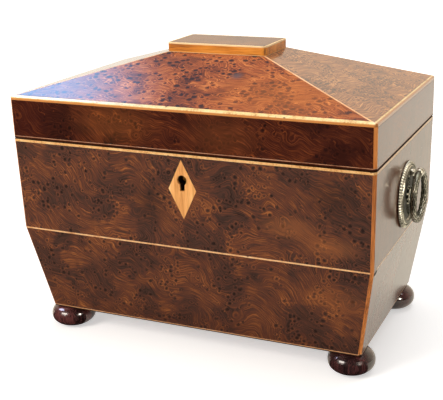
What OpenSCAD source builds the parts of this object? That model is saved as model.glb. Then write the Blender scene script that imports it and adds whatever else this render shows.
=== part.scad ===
// Sarcophagus tea caddy: veneered case and hipped lid on bun feet, with a lock, butt hinges,
// ring handles, two lift-out canisters and a glass mixing bowl.
// Millimetres, +Z up, front towards -Y. The origin is on the floor under the middle of the case.

/* [Case] */
// Width of the case at its rim
case_w = 280; // [240:1:330]
// Depth of the case at its rim
case_d = 168; // [156:1:200]
// Height of the splayed lower part, from the underside up to the waist
lower_h = 69.4; // [60:0.1:90]
// Height of the nearly upright upper part, from the waist up to the rim
upper_h = 70.5; // [62:0.1:95]
// How far the waist stands in from the rim on each side
waist_inset = 0.9; // [0.3:0.1:2]
// How far the underside stands in from the rim at the left and right
base_inset_x = 12.2; // [8:0.1:13]
// How far the underside stands in from the rim at the front and back
base_inset_y = 13; // [8:0.1:14]
// Thickness of the walls at the rim, with their veneer
wall_t = 20; // [19:0.5:24]
// Thickness of the bottom board
bottom_t = 8; // [6:0.5:12]
// Depth of the rebates that hold the ends of the side boards
corner_lap = 3; // [1:0.5:4]

/* [Lid] */
// Gap between the closed lid and the rim
lid_gap = 0.9; // [0.3:0.1:0.9]
// Height of the upright band round the lid
band_h = 30.7; // [26:0.1:45]
// Rise of the roof from the arris of the lid to the cap
roof_rise = 27.8; // [20:0.1:40]
// Thickness of the lid's rails, with their veneer
lid_wall = 18; // [16:0.5:19]
// Thickness of the sloping roof boards, measured upright
roof_board_t = 8; // [6:0.5:9]
// Thickness of the panel that lines the lid
lid_lining_t = 3; // [2:0.5:4]
// Width of the cap on top of the roof
cap_w = 79.5; // [60:0.5:110]
// Depth of the cap on top of the roof
cap_d = 43.5; // [34:0.5:60]
// Height of the cap
cap_h = 7.1; // [5:0.1:12]
// Radius of the cap's upright corners
cap_corner_r = 3.6; // [1.5:0.1:4]

/* [Veneer and edging] */
// Thickness of the saw-cut veneer
veneer_t = 1.2; // [0.8:0.1:1.6]
// Width of the edging at the upright corners, on each face
corner_w = 2.2; // [2:0.1:4]
// How far the upright corners are cut back on each face by their slant
corner_cant = 2; // [1:0.1:2.8]
// Height of the edging round the rim of the case
rim_edge_h = 2; // [1.2:0.1:3]
// Width of the edging round the rim of the case
rim_edge_w = 2.5; // [2:0.1:4]
// Height of the edging round the underside of the case
base_edge_h = 1.5; // [1:0.1:3]
// Width of the edging round the underside of the case
base_edge_w = 2.2; // [1.8:0.1:3]
// Height of the edging round the underside of the lid
lid_low_edge_h = 1.5; // [1:0.1:3]
// Width of the edging round the underside of the lid
lid_low_edge_w = 2.4; // [2:0.1:4]
// Height of the edging at the lid's arris, on the band
lid_top_edge_h = 2.2; // [1.5:0.1:4]
// Width of the edging at the lid's arris, on the roof
lid_top_edge_w = 2.6; // [2:0.1:5]
// Width of the stringing at the waist
waist_string_w = 1.2; // [0.8:0.1:3]
// Width of the stringing on the hips of the roof
hip_string_w = 1.3; // [0.8:0.1:3]
// Width of the cross-grained edging round the cap
cap_edge_w = 1.6; // [1.4:0.1:4]
// Thickness of the glue line at each mitre
glue_gap = 0.05; // [0.03:0.01:0.1]

/* [Escutcheon and lock] */
// Width of the diamond escutcheon
diamond_w = 21.7; // [18:0.1:30]
// Height of the diamond escutcheon
diamond_h = 43.8; // [38:0.1:50]
// Middle of the escutcheon below the rim
diamond_drop = 26.1; // [24:0.1:28]
// Thickness of the escutcheon
diamond_t = 2; // [1.7:0.1:3]
// Radius of the keyhole's round head
key_r = 3.7; // [2.5:0.1:4]
// Width of the keyhole's slot where it leaves the head
key_slot_w = 4.4; // [3:0.1:4.6]
// Width of the keyhole's slot at its foot
key_foot_w = 3.6; // [2.4:0.1:4]
// Foot of the slot below the middle of the head
key_slot_l = 7.9; // [6:0.1:8.4]
// Middle of the keyhole's head below the rim
key_drop = 19.2; // [18.5:0.1:20]
// Radius of the pin that the key turns on
key_pin_r = 1.2; // [0.8:0.1:1.5]
// Width of the lock's case
lock_w = 44; // [43:1:60]
// Thickness of the lock's case, front to back
lock_t = 10; // [9.6:0.1:11]
// Height of the lock's case and selvedge
lock_h = 29; // [28.5:0.5:34]
// Outer face of the front wall to the front of the lock
lock_setback = 9; // [8:0.1:9.4]
// Thickness of the selvedge plate in the rim
selvedge_t = 1.5; // [1:0.1:2]
// Reach of the selvedge past each side of the lock's case
selvedge_reach = 6; // [5:0.5:10]
// Thickness of the lock case's walls
lock_wall = 1.2; // [0.8:0.1:1.3]
// Travel of the lock's bolt
bolt_travel = 4; // [3:0.1:4.2]
// Distance between the two link staples
staple_pitch = 18; // [16:0.5:20]
// Depth of the staples below the rim
staple_depth = 10.5; // [10:0.1:11]
// Width of the staples, front to back
staple_w = 5.2; // [5:0.1:5.4]
// Thickness of the staples
staple_t = 1.8; // [1.2:0.1:2]
// Room round each staple in the selvedge, side to side
staple_room = 0.6; // [0.4:0.1:1]
// Room round each staple in the selvedge, front to back
staple_swing = 0.8; // [0.6:0.1:0.9]
// Width of the link plate in the lid
link_w = 40; // [36:1:50]
// Depth of the link plate in the lid, front to back
link_d = 8; // [7:0.1:8.5]

/* [Hinges and screws] */
// Distance between the middles of the two hinges
hinge_pitch = 172; // [140:1:185]
// Length of each hinge
hinge_l = 38; // [32:1:50]
// Width of each leaf, from the pin inwards
leaf_w = 15; // [12:0.5:16]
// Thickness of each leaf
leaf_t = 1; // [0.8:0.1:1.2]
// Radius of the hinge knuckles
knuckle_r = 2.2; // [1.9:0.1:2.6]
// Radius of the hinge pins
hinge_pin_r = 0.9; // [0.7:0.05:1.1]
// Pin of the hinge behind the back of the case
hinge_out = 1.3; // [1.2:0.1:2]
// Radius of the countersunk screw heads
screw_head_r = 2; // [1.6:0.1:2.2]
// Radius of the screw shanks
screw_r = 1; // [0.7:0.1:1.2]
// Length of the screws
screw_l = 9; // [6:0.5:10]
// Distance between neighbouring screws in a leaf
leaf_screw_pitch = 13; // [10:0.5:14]

/* [Feet] */
// Radius of the bun feet
foot_r = 17.4; // [14:0.1:20]
// Height of the bun feet
foot_h = 18; // [14:0.1:26]
// Fullness of the feet: 2 is an ellipse, more is squarer
foot_full = 2.3; // [2:0.1:3]
// Share of the bun's curve that is kept above and below its middle
foot_cut = 0.93; // [0.85:0.01:0.96]
// Middle of each foot in from the left or right edge of the underside
foot_in_x = 10.4; // [9:0.1:20]
// Middle of each foot in from the front or back edge of the underside
foot_in_y = 12.3; // [9:0.1:20]
// Radius of the tenon on each foot
tenon_r = 5; // [4:0.1:6]
// Length of the tenon on each foot
tenon_l = 5; // [3:0.1:5.5]

/* [Inside] */
// Thickness of the thin boards that line the well
lining_t = 2.5; // [1.5:0.1:3]
// Middle of each divider from the middle of the case
divider_x = 46; // [45:0.5:52]
// Thickness of the dividers
divider_t = 3; // [2:0.1:4]
// Top of the dividers below the rim
divider_drop = 8; // [6:0.5:12]
// Top of the bowl's panel below the rim
panel_drop = 10; // [9:0.5:14]
// Thickness of the bowl's panel
panel_t = 4; // [3:0.5:6]
// Radius of the hole in the bowl's panel
panel_hole_r = 38.6; // [34:0.1:39]
// Radius of the bowl's rim
bowl_r = 42.5; // [40:0.1:43.5]
// Depth of the bowl below its rim
bowl_depth = 60; // [45:0.5:70]
// Thickness of the bowl's glass
bowl_t = 3; // [2:0.1:4]
// Thickness of the bowl's flat rim
bowl_rim_t = 3; // [2:0.1:4]
// Radius of the bowl's foot
bowl_foot_r = 17; // [12:0.5:22]
// Wall of the canisters
canister_t = 5; // [3:0.1:7]
// Top of the canister boxes below the rim
canister_drop = 16; // [15:0.5:24]
// Gap between a canister and its bay, on each side
canister_gap = 0.4; // [0.3:0.05:1]
// Thickness of the foil lining in the canisters
foil_t = 0.6; // [0.4:0.1:1]
// Thickness of a canister's lid above its box
canister_lid_t = 5; // [4:0.1:7]
// Depth that a canister's lid drops into its box
plug_h = 4; // [2:0.1:6]
// Gap round the part of a canister's lid that drops into its box
plug_gap = 0.3; // [0.2:0.05:0.6]
// Radius of the knobs on the canisters' lids
knob_r = 5.2; // [4:0.1:7]
// Height of the knobs
knob_h = 9; // [7:0.1:10]
// Radius of the peg under each knob
knob_peg_r = 1.6; // [1.2:0.1:2]
// Length of the peg under each knob
knob_peg_l = 5; // [3:0.1:6]

/* [Handles] */
// Middle of the handle plates above the waist
handle_rise = 30.2; // [27:0.1:34]
// Radius of the handle plates
plate_r = 24.8; // [23:0.1:26]
// Radius of the smooth bead inside the gadrooned rim
bead_r = 20.3; // [19:0.1:21]
// Height of the bead above the case at its rim
bead_h = 3.2; // [2.6:0.1:4]
// Thickness of the plate in its dish
dish_t = 1.2; // [0.8:0.1:1.6]
// Mean radius of the ring
ring_r = 17.5; // [16.5:0.1:18.5]
// Radius of the ring's section
ring_t = 2.7; // [1.8:0.1:2.8]
// Middle of the ring out from the case at its rim
ring_out = 9.2; // [8.8:0.1:11]
// Radius of the ring's pivot bar
ring_bar_r = 1.4; // [1:0.1:1.5]
// Length of the eye that holds the ring
eye_l = 6.6; // [5:0.1:8]
// Radius of the eye that holds the ring
eye_r = 3; // [2.4:0.1:3.3]
// Radius of the boss in the middle of the plate
boss_r = 6.4; // [5:0.1:7]
// Height of the boss above the back of the plate
boss_h = 6.2; // [5:0.1:8]
// Radius of the handle bolts
handle_bolt_r = 1.9; // [1.5:0.1:2.4]
// Radius of the round nuts inside the walls
nut_r = 5; // [4:0.1:6]
// Thickness of the nuts
nut_t = 3; // [2:0.1:4]

/* [Fits] */
// Radial clearance of pins, bars and screws in their bores
fit_gap = 0.05; // [0.03:0.01:0.08]
// Clearance beside moving faces
side_gap = 0.3; // [0.2:0.05:0.4]

/* [Hidden] */
$fn = 48;

// Heights
z_base = foot_h;
z_floor = z_base + bottom_t;
z_waist = z_base + lower_h;
z_rim = z_waist + upper_h;
z_lid = z_rim + lid_gap;
z_arris = z_lid + band_h;
z_cap = z_arris + roof_rise;
z_top = z_cap + cap_h;

// Half widths and depths
half_w = case_w / 2;
half_d = case_d / 2;
well_x = half_w - wall_t;
well_y = half_d - wall_t;
bay_x = well_x - lining_t;
bay_y = well_y - lining_t;
reach = 2 * (case_w + case_d);
over = 1;

// Profiles of the case, as [height, half width] from the underside to the rim
width_line = [[z_base, half_w - base_inset_x], [z_waist, half_w - waist_inset], [z_rim, half_w]];
depth_line = [[z_base, half_d - base_inset_y], [z_waist, half_d - waist_inset], [z_rim, half_d]];

// Slanted corners of the case and of the lid, as [height, distance from the middle]
cant_line = [for (i = [0:2])
  [width_line[i][0], (width_line[i][1] + depth_line[i][1] - corner_cant) / sqrt(2)]];
lid_cant_line = [for (z = [z_lid, z_cap]) [z, (half_w + half_d - corner_cant) / sqrt(2)]];

// Hips of the roof in plan
cap_x = cap_w / 2;
cap_y = cap_d / 2;
ridge_x = max(0, half_w - (half_w - cap_x) * half_d / (half_d - cap_y));
ridge_y = max(0, half_d - (half_d - cap_y) * half_w / (half_w - cap_x));

// Lock
lock_y = -half_d + lock_setback + lock_t / 2;
lock_room = lock_t / 2 - lock_wall;
z_lock = z_rim - lock_h;
z_key = z_rim - key_drop;
z_diamond = z_rim - diamond_drop;
staple_hole_h = 3.6;
staple_hole_w = 3;
staple_lip = 1.6;
finger_w = 2.4;
finger_h = 2.6;
finger_gap = 0.5;
post_w = 2.8;
bolt_bar_h = 2.6;
bolt_bar_gap = 0.9;
talon_w = 4;
talon_h = 2.6;
ledge_w = 8.8;
ledge_t = 1.5;
z_bolt = z_rim - staple_depth - bolt_bar_gap - bolt_bar_h;
z_finger = z_rim - staple_depth + staple_lip + (staple_hole_h - finger_h) / 2;
bolt_x0 = -staple_pitch / 2 - staple_t / 2 - finger_gap - bolt_travel - post_w - 0.9 * staple_t;
bolt_x1 = lock_w / 2 - lock_wall - bolt_travel - 3 * side_gap;

// Hinges
pin_y = half_d + hinge_out;
pin_z = z_rim + lid_gap / 2;
knuckle_room = knuckle_r + side_gap;
knuckle_l = hinge_l / 3;
leaf_mid_y = pin_y - knuckle_room - (leaf_w - knuckle_room) / 2;
screw_head_h = leaf_t;

// Canisters, bowl and handles
canister_x0 = divider_x + divider_t / 2 + canister_gap;
canister_x1 = bay_x - canister_gap;
canister_y = bay_y - canister_gap;
canister_mid = (canister_x0 + canister_x1) / 2;
canister_half = (canister_x1 - canister_x0) / 2;
z_canister = z_rim - canister_drop;
z_canister_lid = z_canister + canister_lid_t;
z_panel = z_rim - panel_drop;
z_bowl = z_panel + bowl_rim_t - bowl_depth;
bowl_wall_r = panel_hole_r - 2 * side_gap;
z_handle = z_waist + handle_rise;
ring_x = half_w + ring_out;
ring_top = z_handle + ring_r;
eye_room = eye_l / 2 + side_gap;

// Heights from z0 to z1 at which the profile t starts, bends or ends
function levels(t, z0, z1) = concat([z0], [for (q = t) if (q[0] > z0 && q[0] < z1) q[0]], [z1]);

// Section between two depths under the outside of profile t
function skin(t, z0, z1, outer, inner) =
  let (zs = levels(t, z0, z1), n = len(zs))
  concat([for (z = zs) [outer - lookup(z, t), z]],
    [for (i = [n - 1:-1:0]) [inner - lookup(zs[i], t), zs[i]]]);

// Section from a depth under the outside of profile t to an upright inner face
function board(t, z0, z1, outer, inner) =
  concat([for (z = levels(t, z0, z1)) [outer - lookup(z, t), z]], [[-inner, z1], [-inner, z0]]);

// Section of the whole width within profile t
function whole(t, z0, z1, inset) =
  let (zs = levels(t, z0, z1), n = len(zs))
  concat([for (z = zs) [inset - lookup(z, t), z]],
    [for (i = [n - 1:-1:0]) [lookup(zs[i], t) - inset, zs[i]]]);

// Half size of the roof at height z, where its planes lie drop below the outside
function roof_half(half, cap_half, z, drop) =
  half - (z - z_arris + drop) * (half - cap_half) / roof_rise;

// Height at which the roof's planes, lowered by drop, would meet
function roof_peak(drop) = z_arris - drop
  + roof_rise * min(half_w / (half_w - cap_x), half_d / (half_d - cap_y));

// Section of a bun foot or any other full round: radius at the height z of h
function bun_r(z, h) = foot_r * pow(1 - pow(abs(foot_cut * (2 * z / h - 1)), foot_full), 1 / foot_full);

module along_x(points) rotate([90, 0, 90]) linear_extrude(reach, center = true) polygon(points);

module along_y(points) rotate([90, 0, 0]) linear_extrude(reach, center = true) polygon(points);

// Everything inside the four slanted corners of profile t
module within_cants(t, z0, z1) intersection() {
  rotate([0, 0, 45]) along_y(whole(t, z0, z1, 0));
  rotate([0, 0, -45]) along_y(whole(t, z0, z1, 0));
}

// Face 0 is the front, 1 the right, 2 the back and 3 the left
module face_piece(k, z0, z1, outer, inner, side) {
  normal_line = k % 2 == 0 ? depth_line : width_line;
  across_line = k % 2 == 0 ? width_line : depth_line;
  rotate([0, 0, 90 * k]) intersection() {
    along_x(skin(normal_line, z0, z1, outer, inner));
    along_y(whole(across_line, z0, z1, side));
  }
}

// Box with its middle at x and y, from z0 to z1
module box(x, y, w, d, z0, z1) translate([x - w / 2, y - d / 2, z0]) cube([w, d, z1 - z0]);

module frame(hx, hy, w, z0, z1) difference() {
  box(0, 0, 2 * hx, 2 * hy, z0, z1);
  box(0, 0, 2 * (hx - w), 2 * (hy - w), z0 - over, z1 + over);
}

// Four strips mitred round a rectangle, with a glue line at each mitre
module mitred_frame(hx, hy, w, z0, z1) for (k = [0:3]) {
  a = (k % 2 == 0 ? hx : hy) - glue_gap;
  n = k % 2 == 0 ? hy : hx;
  translate([0, 0, z0]) rotate([0, 0, 90 * k]) linear_extrude(z1 - z0)
    polygon([[-a, -n], [a, -n], [a - w, w - n], [w - a, w - n]]);
}

module case_block(inset, z0, z1) intersection() {
  along_x(whole(depth_line, z0, z1, inset));
  along_y(whole(width_line, z0, z1, inset));
}

module keyhole(y0, y1) translate([0, y1, z_key]) rotate([90, 0, 0]) linear_extrude(y1 - y0) union() {
  circle(r = key_r);
  polygon([[-key_slot_w / 2, 0], [-key_foot_w / 2, -key_slot_l], [key_foot_w / 2, -key_slot_l],
    [key_slot_w / 2, 0]]);
}

module diamond(y0, y1) translate([0, y1, z_diamond]) rotate([90, 0, 0]) linear_extrude(y1 - y0)
  polygon([[0, -diamond_h / 2], [diamond_w / 2, 0], [0, diamond_h / 2], [-diamond_w / 2, 0]]);

module screw() union() {
  translate([0, 0, -screw_head_h]) cylinder(h = screw_head_h, r1 = screw_r, r2 = screw_head_r);
  translate([0, 0, -screw_l]) cylinder(h = screw_l - screw_head_h / 2, r = screw_r);
}

module screw_hole() union() {
  translate([0, 0, -screw_head_h])
    cylinder(h = screw_head_h, r1 = screw_r + fit_gap, r2 = screw_head_r + fit_gap);
  translate([0, 0, -screw_l - side_gap]) cylinder(h = screw_l, r = screw_r + fit_gap);
}

// Places of the screws in the leaves of both hinges
module at_leaf_screws(z) for (s = [-1, 1], i = [-1:1])
  translate([s * hinge_pitch / 2 + i * leaf_screw_pitch, leaf_mid_y, z]) children();

module at_selvedge_screws() for (s = [-1, 1])
  translate([s * (lock_w + selvedge_reach) / 2, lock_y, z_rim]) children();

module at_link_screws() for (s = [-1, 1])
  translate([s * (link_w / 2 - screw_head_r - screw_r), lock_y, z_lid]) mirror([0, 0, 1]) children();

// Room for the knuckles in the case and the lid
module knuckle_notches() for (s = [-1, 1]) translate([s * hinge_pitch / 2, pin_y, pin_z])
  rotate([0, 90, 0]) cylinder(h = hinge_l + 2 * side_gap, r = knuckle_room, center = true);

module leaf_plates(z0) for (s = [-1, 1])
  box(s * hinge_pitch / 2, leaf_mid_y, hinge_l, leaf_w - knuckle_room, z0, z0 + leaf_t);

// Recess for a leaf, out past the back of the case
module leaf_recesses(z0) for (s = [-1, 1]) translate([s * hinge_pitch / 2 - hinge_l / 2,
    pin_y - leaf_w, z0]) cube([hinge_l, leaf_w, leaf_t]);

// Knuckles from x0 to x1 of each hinge, joined to their leaf at z0
module knuckle(x0, x1, z0, bore) for (s = [-1, 1]) translate([s * hinge_pitch / 2, 0, 0])
  difference() {
    union() {
      translate([x0, pin_y, pin_z]) rotate([0, 90, 0]) cylinder(h = x1 - x0, r = knuckle_r);
      translate([x0, pin_y - knuckle_room - over, z0]) cube([x1 - x0, knuckle_room + over, leaf_t]);
    }
    translate([x0 - over, pin_y, pin_z]) rotate([0, 90, 0])
      cylinder(h = x1 - x0 + 2 * over, r = bore);
  }

module lock_mortise() union() {
  box(0, lock_y, lock_w, lock_t, z_lock, z_rim + over);
  box(0, lock_y, lock_w + 2 * selvedge_reach, lock_t, z_rim - selvedge_t, z_rim + over);
}

// Rebates in the case boards for the edging, cut past the outside
module case_rebates() union() {
  frame(half_w + over, half_d + over, rim_edge_w + over, z_rim - rim_edge_h, z_rim + over);
  frame(lookup(z_base, width_line) + over, lookup(z_base, depth_line) + over,
    base_edge_w + over, z_base - over, z_base + base_edge_h);
  corner_strips(z_base, z_rim, -over);
}

// Upright strips at the four corners, out to an inset that may lie outside the case
module corner_strips(z0, z1, outer) for (sx = [0, 1], sy = [0, 1])
  mirror([sx, 0, 0]) mirror([0, sy, 0]) intersection() {
    along_y(skin(width_line, z0, z1, outer, corner_w));
    along_x(skin(depth_line, z0, z1, outer, corner_w));
  }

module wide_board() difference() {
  intersection() {
    along_x(board(depth_line, z_floor, z_rim, veneer_t, well_y));
    along_y(whole(width_line, z_floor, z_rim, veneer_t));
  }
  for (s = [-1, 1]) translate([s > 0 ? well_x : -reach / 2, -well_y - corner_lap, z_floor - over])
    cube([reach / 2 - (s > 0 ? 0 : well_x), corner_lap + over, z_rim - z_floor + 2 * over]);
  case_rebates();
}

module front_board() color("peru") difference() {
  wide_board();
  lock_mortise();
  keyhole(-half_d - over, lock_y);
  diamond_room();
  at_selvedge_screws() screw_hole();
}

module diamond_room() intersection() {
  diamond(-half_d - over, lock_y);
  along_x(skin(depth_line, z_waist, z_rim, -over, diamond_t));
}

module back_board() color("peru") difference() {
  rotate([0, 0, 180]) wide_board();
  leaf_recesses(z_rim - leaf_t);
  knuckle_notches();
  at_leaf_screws(z_rim) screw_hole();
}

module side_board() difference() {
  intersection() {
    along_y(board(width_line, z_floor, z_rim, veneer_t, well_x));
    box(0, 0, reach, 2 * (well_y + corner_lap), z_floor, z_rim);
  }
  case_rebates();
  mirror([1, 0, 0]) handle_bores();
}

module left_board() color("peru") side_board();

module right_board() color("peru") mirror([1, 0, 0]) side_board();

module handle_bores() translate([0, 0, z_handle]) rotate([0, 90, 0]) union() {
  cylinder(h = reach / 2, r = handle_bolt_r + fit_gap);
  cylinder(h = well_x + nut_t, r = nut_r + fit_gap);
}

module bottom_board() color("peru") difference() {
  case_block(veneer_t, z_base, z_floor);
  case_rebates();
  at_feet() translate([0, 0, -over]) cylinder(h = tenon_l + side_gap + over, r = tenon_r + fit_gap);
}

module at_feet() for (sx = [-1, 1], sy = [-1, 1]) at_foot(sx, sy) children();

module at_foot(sx, sy) translate([sx * (lookup(z_base, width_line) - foot_in_x),
    sy * (lookup(z_base, depth_line) - foot_in_y), z_base]) children();

module upper_veneer(k)
  face_piece(k, z_waist + waist_string_w / 2, z_rim - rim_edge_h, 0, veneer_t, corner_w);

module lower_veneer(k)
  face_piece(k, z_base + base_edge_h, z_waist - waist_string_w / 2, 0, veneer_t, corner_w);

module front_upper_veneer() color("sienna") difference() {
  upper_veneer(0);
  diamond(-half_d - over, lock_y);
}

module front_lower_veneer() color("sienna") lower_veneer(0);

module back_veneer() color("sienna") {
  difference() {
    upper_veneer(2);
    knuckle_notches();
  }
  lower_veneer(2);
}

module right_veneer() color("rosybrown") {
  difference() {
    upper_veneer(1);
    handle_bores();
  }
  lower_veneer(1);
}

module left_veneer() color("rosybrown") mirror([1, 0, 0]) right_veneer();

module waist_stringing() color("burlywood") for (k = [0:3])
  face_piece(k, z_waist - waist_string_w / 2, z_waist + waist_string_w / 2, 0, veneer_t, corner_w);

module base_edging() color("burlywood") intersection() {
  case_block(0, z_base, z_base + base_edge_h);
  mitred_frame(lookup(z_base + base_edge_h, width_line), lookup(z_base + base_edge_h, depth_line),
    base_edge_w + lookup(z_base + base_edge_h, width_line) - lookup(z_base, width_line),
    z_base, z_base + base_edge_h);
  within_cants(cant_line, z_base, z_base + base_edge_h);
}

module rim_edging() color("burlywood") difference() {
  intersection() {
    case_block(0, z_rim - rim_edge_h, z_rim);
    mitred_frame(half_w, half_d, rim_edge_w, z_rim - rim_edge_h, z_rim);
    within_cants(cant_line, z_rim - rim_edge_h, z_rim);
  }
  knuckle_notches();
  leaf_recesses(z_rim - leaf_t);
}

module corner_edging() color("darkorange") intersection() {
  corner_strips(z_base + base_edge_h, z_rim - rim_edge_h, 0);
  within_cants(cant_line, z_base + base_edge_h, z_rim - rim_edge_h);
}

module escutcheon() color("sandybrown") difference() {
  intersection() {
    diamond(-half_d - over, lock_y);
    along_x(skin(depth_line, z_waist, z_rim, 0, diamond_t));
  }
  keyhole(-half_d - over, lock_y);
}

module foot() color("#2a1512") union() {
  steps = 18;
  rotate_extrude() polygon(concat([[0, -foot_h]],
    [for (i = [0:steps]) [bun_r(foot_h * i / steps, foot_h), foot_h * (i / steps - 1)]], [[0, 0]]));
  translate([0, 0, -over]) cylinder(h = tenon_l + over, r = tenon_r);
}

module foot_front_left() at_foot(-1, -1) foot();

module foot_front_right() at_foot(1, -1) foot();

module foot_back_left() at_foot(-1, 1) foot();

module foot_back_right() at_foot(1, 1) foot();

module lock_case() color("darkkhaki") {
  lock_shell();
  key_pin();
}

module lock_shell() difference() {
  union() {
    difference() {
      box(0, lock_y, lock_w, lock_t, z_lock, z_rim - selvedge_t);
      box(0, lock_y, lock_w - 2 * lock_wall, 2 * lock_room, z_lock + lock_wall, z_rim);
    }
    box(0, lock_y, lock_w + 2 * selvedge_reach, lock_t, z_rim - selvedge_t, z_rim);
    for (s = [-1, 1]) box(s * (lock_w - ledge_w) / 2, lock_y, ledge_w, lock_t - lock_wall,
      z_bolt - fit_gap - ledge_t, z_bolt - fit_gap);
  }
  keyhole(-half_d, lock_y);
  for (s = [-1, 1]) box(s * staple_pitch / 2, lock_y, staple_t + 2 * staple_room,
    staple_w + 2 * staple_swing, z_rim - selvedge_t - over, z_rim + over);
  at_selvedge_screws() screw_hole();
}

module key_pin() translate([0, lock_y + lock_t / 2, z_key]) rotate([90, 0, 0])
  cylinder(h = lock_t + lock_setback / 2, r = key_pin_r);

module lock_bolt() color("goldenrod") {
  translate([bolt_x0, lock_y - lock_room + side_gap, z_bolt])
    cube([bolt_x1 - bolt_x0, 2 * (lock_room - side_gap), bolt_bar_h]);
  box(0, lock_y, talon_w, 2 * (lock_room - side_gap), z_bolt - talon_h, z_bolt + bolt_bar_h / 2);
  for (s = [-1, 1]) {
    tip = s * staple_pitch / 2 - staple_t / 2 - finger_gap;
    translate([tip - bolt_travel - post_w + finger_gap / 2, lock_y - finger_w / 2, z_bolt])
      cube([post_w, finger_w, z_finger + finger_h - z_bolt]);
    translate([tip - bolt_travel - finger_gap, lock_y - finger_w / 2, z_finger])
      cube([bolt_travel + finger_gap, finger_w, finger_h]);
  }
}

module hinge_case_leaves() color("darkkhaki") difference() {
  union() {
    leaf_plates(z_rim - leaf_t);
    knuckle(-hinge_l / 2, -knuckle_l / 2 - side_gap / 2, z_rim - leaf_t, hinge_pin_r + fit_gap);
    knuckle(knuckle_l / 2 + side_gap / 2, hinge_l / 2, z_rim - leaf_t, hinge_pin_r + fit_gap);
  }
  at_leaf_screws(z_rim) screw_hole();
}

module hinge_lid_leaves() color("darkkhaki") difference() {
  union() {
    leaf_plates(z_lid);
    knuckle(side_gap / 2 - knuckle_l / 2, knuckle_l / 2 - side_gap / 2, z_lid, hinge_pin_r + fit_gap);
  }
  at_leaf_screws(z_lid) mirror([0, 0, 1]) screw_hole();
}

module hinge_pins() color("goldenrod") for (s = [-1, 1])
  translate([s * hinge_pitch / 2, pin_y, pin_z]) rotate([0, 90, 0])
    cylinder(h = hinge_l, r = hinge_pin_r, center = true);

module case_screws() color("goldenrod") {
  at_leaf_screws(z_rim) screw();
  at_selvedge_screws() screw();
}

module lid_screws() color("goldenrod") {
  at_leaf_screws(z_lid) mirror([0, 0, 1]) screw();
  at_link_screws() screw();
}

module dividers() color("saddlebrown") for (s = [-1, 1])
  box(s * divider_x, 0, divider_t, 2 * bay_y, z_floor, z_rim - divider_drop);

module well_lining() color("saddlebrown") mitred_frame(well_x, well_y, lining_t, z_floor, z_rim);

module bowl_panel() color("saddlebrown") difference() {
  box(0, 0, 2 * divider_x - divider_t, 2 * bay_y, z_panel - panel_t, z_panel);
  translate([0, 0, z_panel - panel_t - over]) cylinder(h = panel_t + 2 * over, r = panel_hole_r);
}

// Outside of the bowl as a quarter of an ellipse, less inset, at the share a of its height
function bowl_point(a, inset) = [
  bowl_foot_r + (bowl_wall_r - bowl_foot_r) * sin(90 * a) - inset,
  z_bowl + (z_panel - z_bowl) * (1 - cos(90 * a)) + inset * (1 - a)];

module mixing_bowl() color("lightcyan", 0.4) {
  steps = 14;
  z_lip = z_panel + bowl_rim_t;
  rotate_extrude() polygon(concat([[0, z_bowl]],
    [for (i = [0:steps]) bowl_point(i / steps, 0)],
    [[bowl_r, z_panel], [bowl_r, z_lip], [bowl_wall_r - bowl_t, z_lip]],
    [for (i = [steps:-1:0]) bowl_point(i / steps, bowl_t)], [[0, z_bowl + bowl_t]]));
}

module canister_box() color("sienna") difference() {
  box(canister_mid, 0, 2 * canister_half, 2 * canister_y, z_floor, z_canister);
  box(canister_mid, 0, 2 * (canister_half - canister_t), 2 * (canister_y - canister_t),
    z_floor + canister_t, z_canister + over);
}

module canister_foil() color("silver") difference() {
  box(canister_mid, 0, 2 * (canister_half - canister_t), 2 * (canister_y - canister_t),
    z_floor + canister_t, z_canister - plug_h - side_gap);
  box(canister_mid, 0, 2 * (canister_half - canister_t - foil_t),
    2 * (canister_y - canister_t - foil_t), z_floor + canister_t + foil_t, z_canister);
}

module canister_lid() color("sienna") difference() {
  union() {
    box(canister_mid, 0, 2 * canister_half, 2 * canister_y, z_canister, z_canister_lid);
    box(canister_mid, 0, 2 * (canister_half - canister_t - plug_gap),
      2 * (canister_y - canister_t - plug_gap), z_canister - plug_h, z_canister + over);
  }
  translate([canister_mid, 0, z_canister_lid - knob_peg_l - side_gap])
    cylinder(h = knob_peg_l + side_gap + over, r = knob_peg_r + fit_gap);
}

module canister_knob() color("ivory") translate([canister_mid, 0, z_canister_lid]) union() {
  rotate_extrude() polygon([[0, 0], [0.75 * knob_r, 0], [0.75 * knob_r, 0.12 * knob_h],
    [0.42 * knob_r, 0.24 * knob_h], [0.42 * knob_r, 0.36 * knob_h], [0.85 * knob_r, 0.52 * knob_h],
    [knob_r, 0.68 * knob_h], [0.9 * knob_r, 0.84 * knob_h], [0.55 * knob_r, 0.96 * knob_h],
    [0, knob_h]]);
  translate([0, 0, -knob_peg_l]) cylinder(h = knob_peg_l + over, r = knob_peg_r);
}

module canister_right_box() canister_box();

module canister_right_foil() canister_foil();

module canister_right_lid() canister_lid();

module canister_right_knob() canister_knob();

module canister_left_box() mirror([1, 0, 0]) canister_box();

module canister_left_foil() mirror([1, 0, 0]) canister_foil();

module canister_left_lid() mirror([1, 0, 0]) canister_lid();

module canister_left_knob() mirror([1, 0, 0]) canister_knob();

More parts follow.
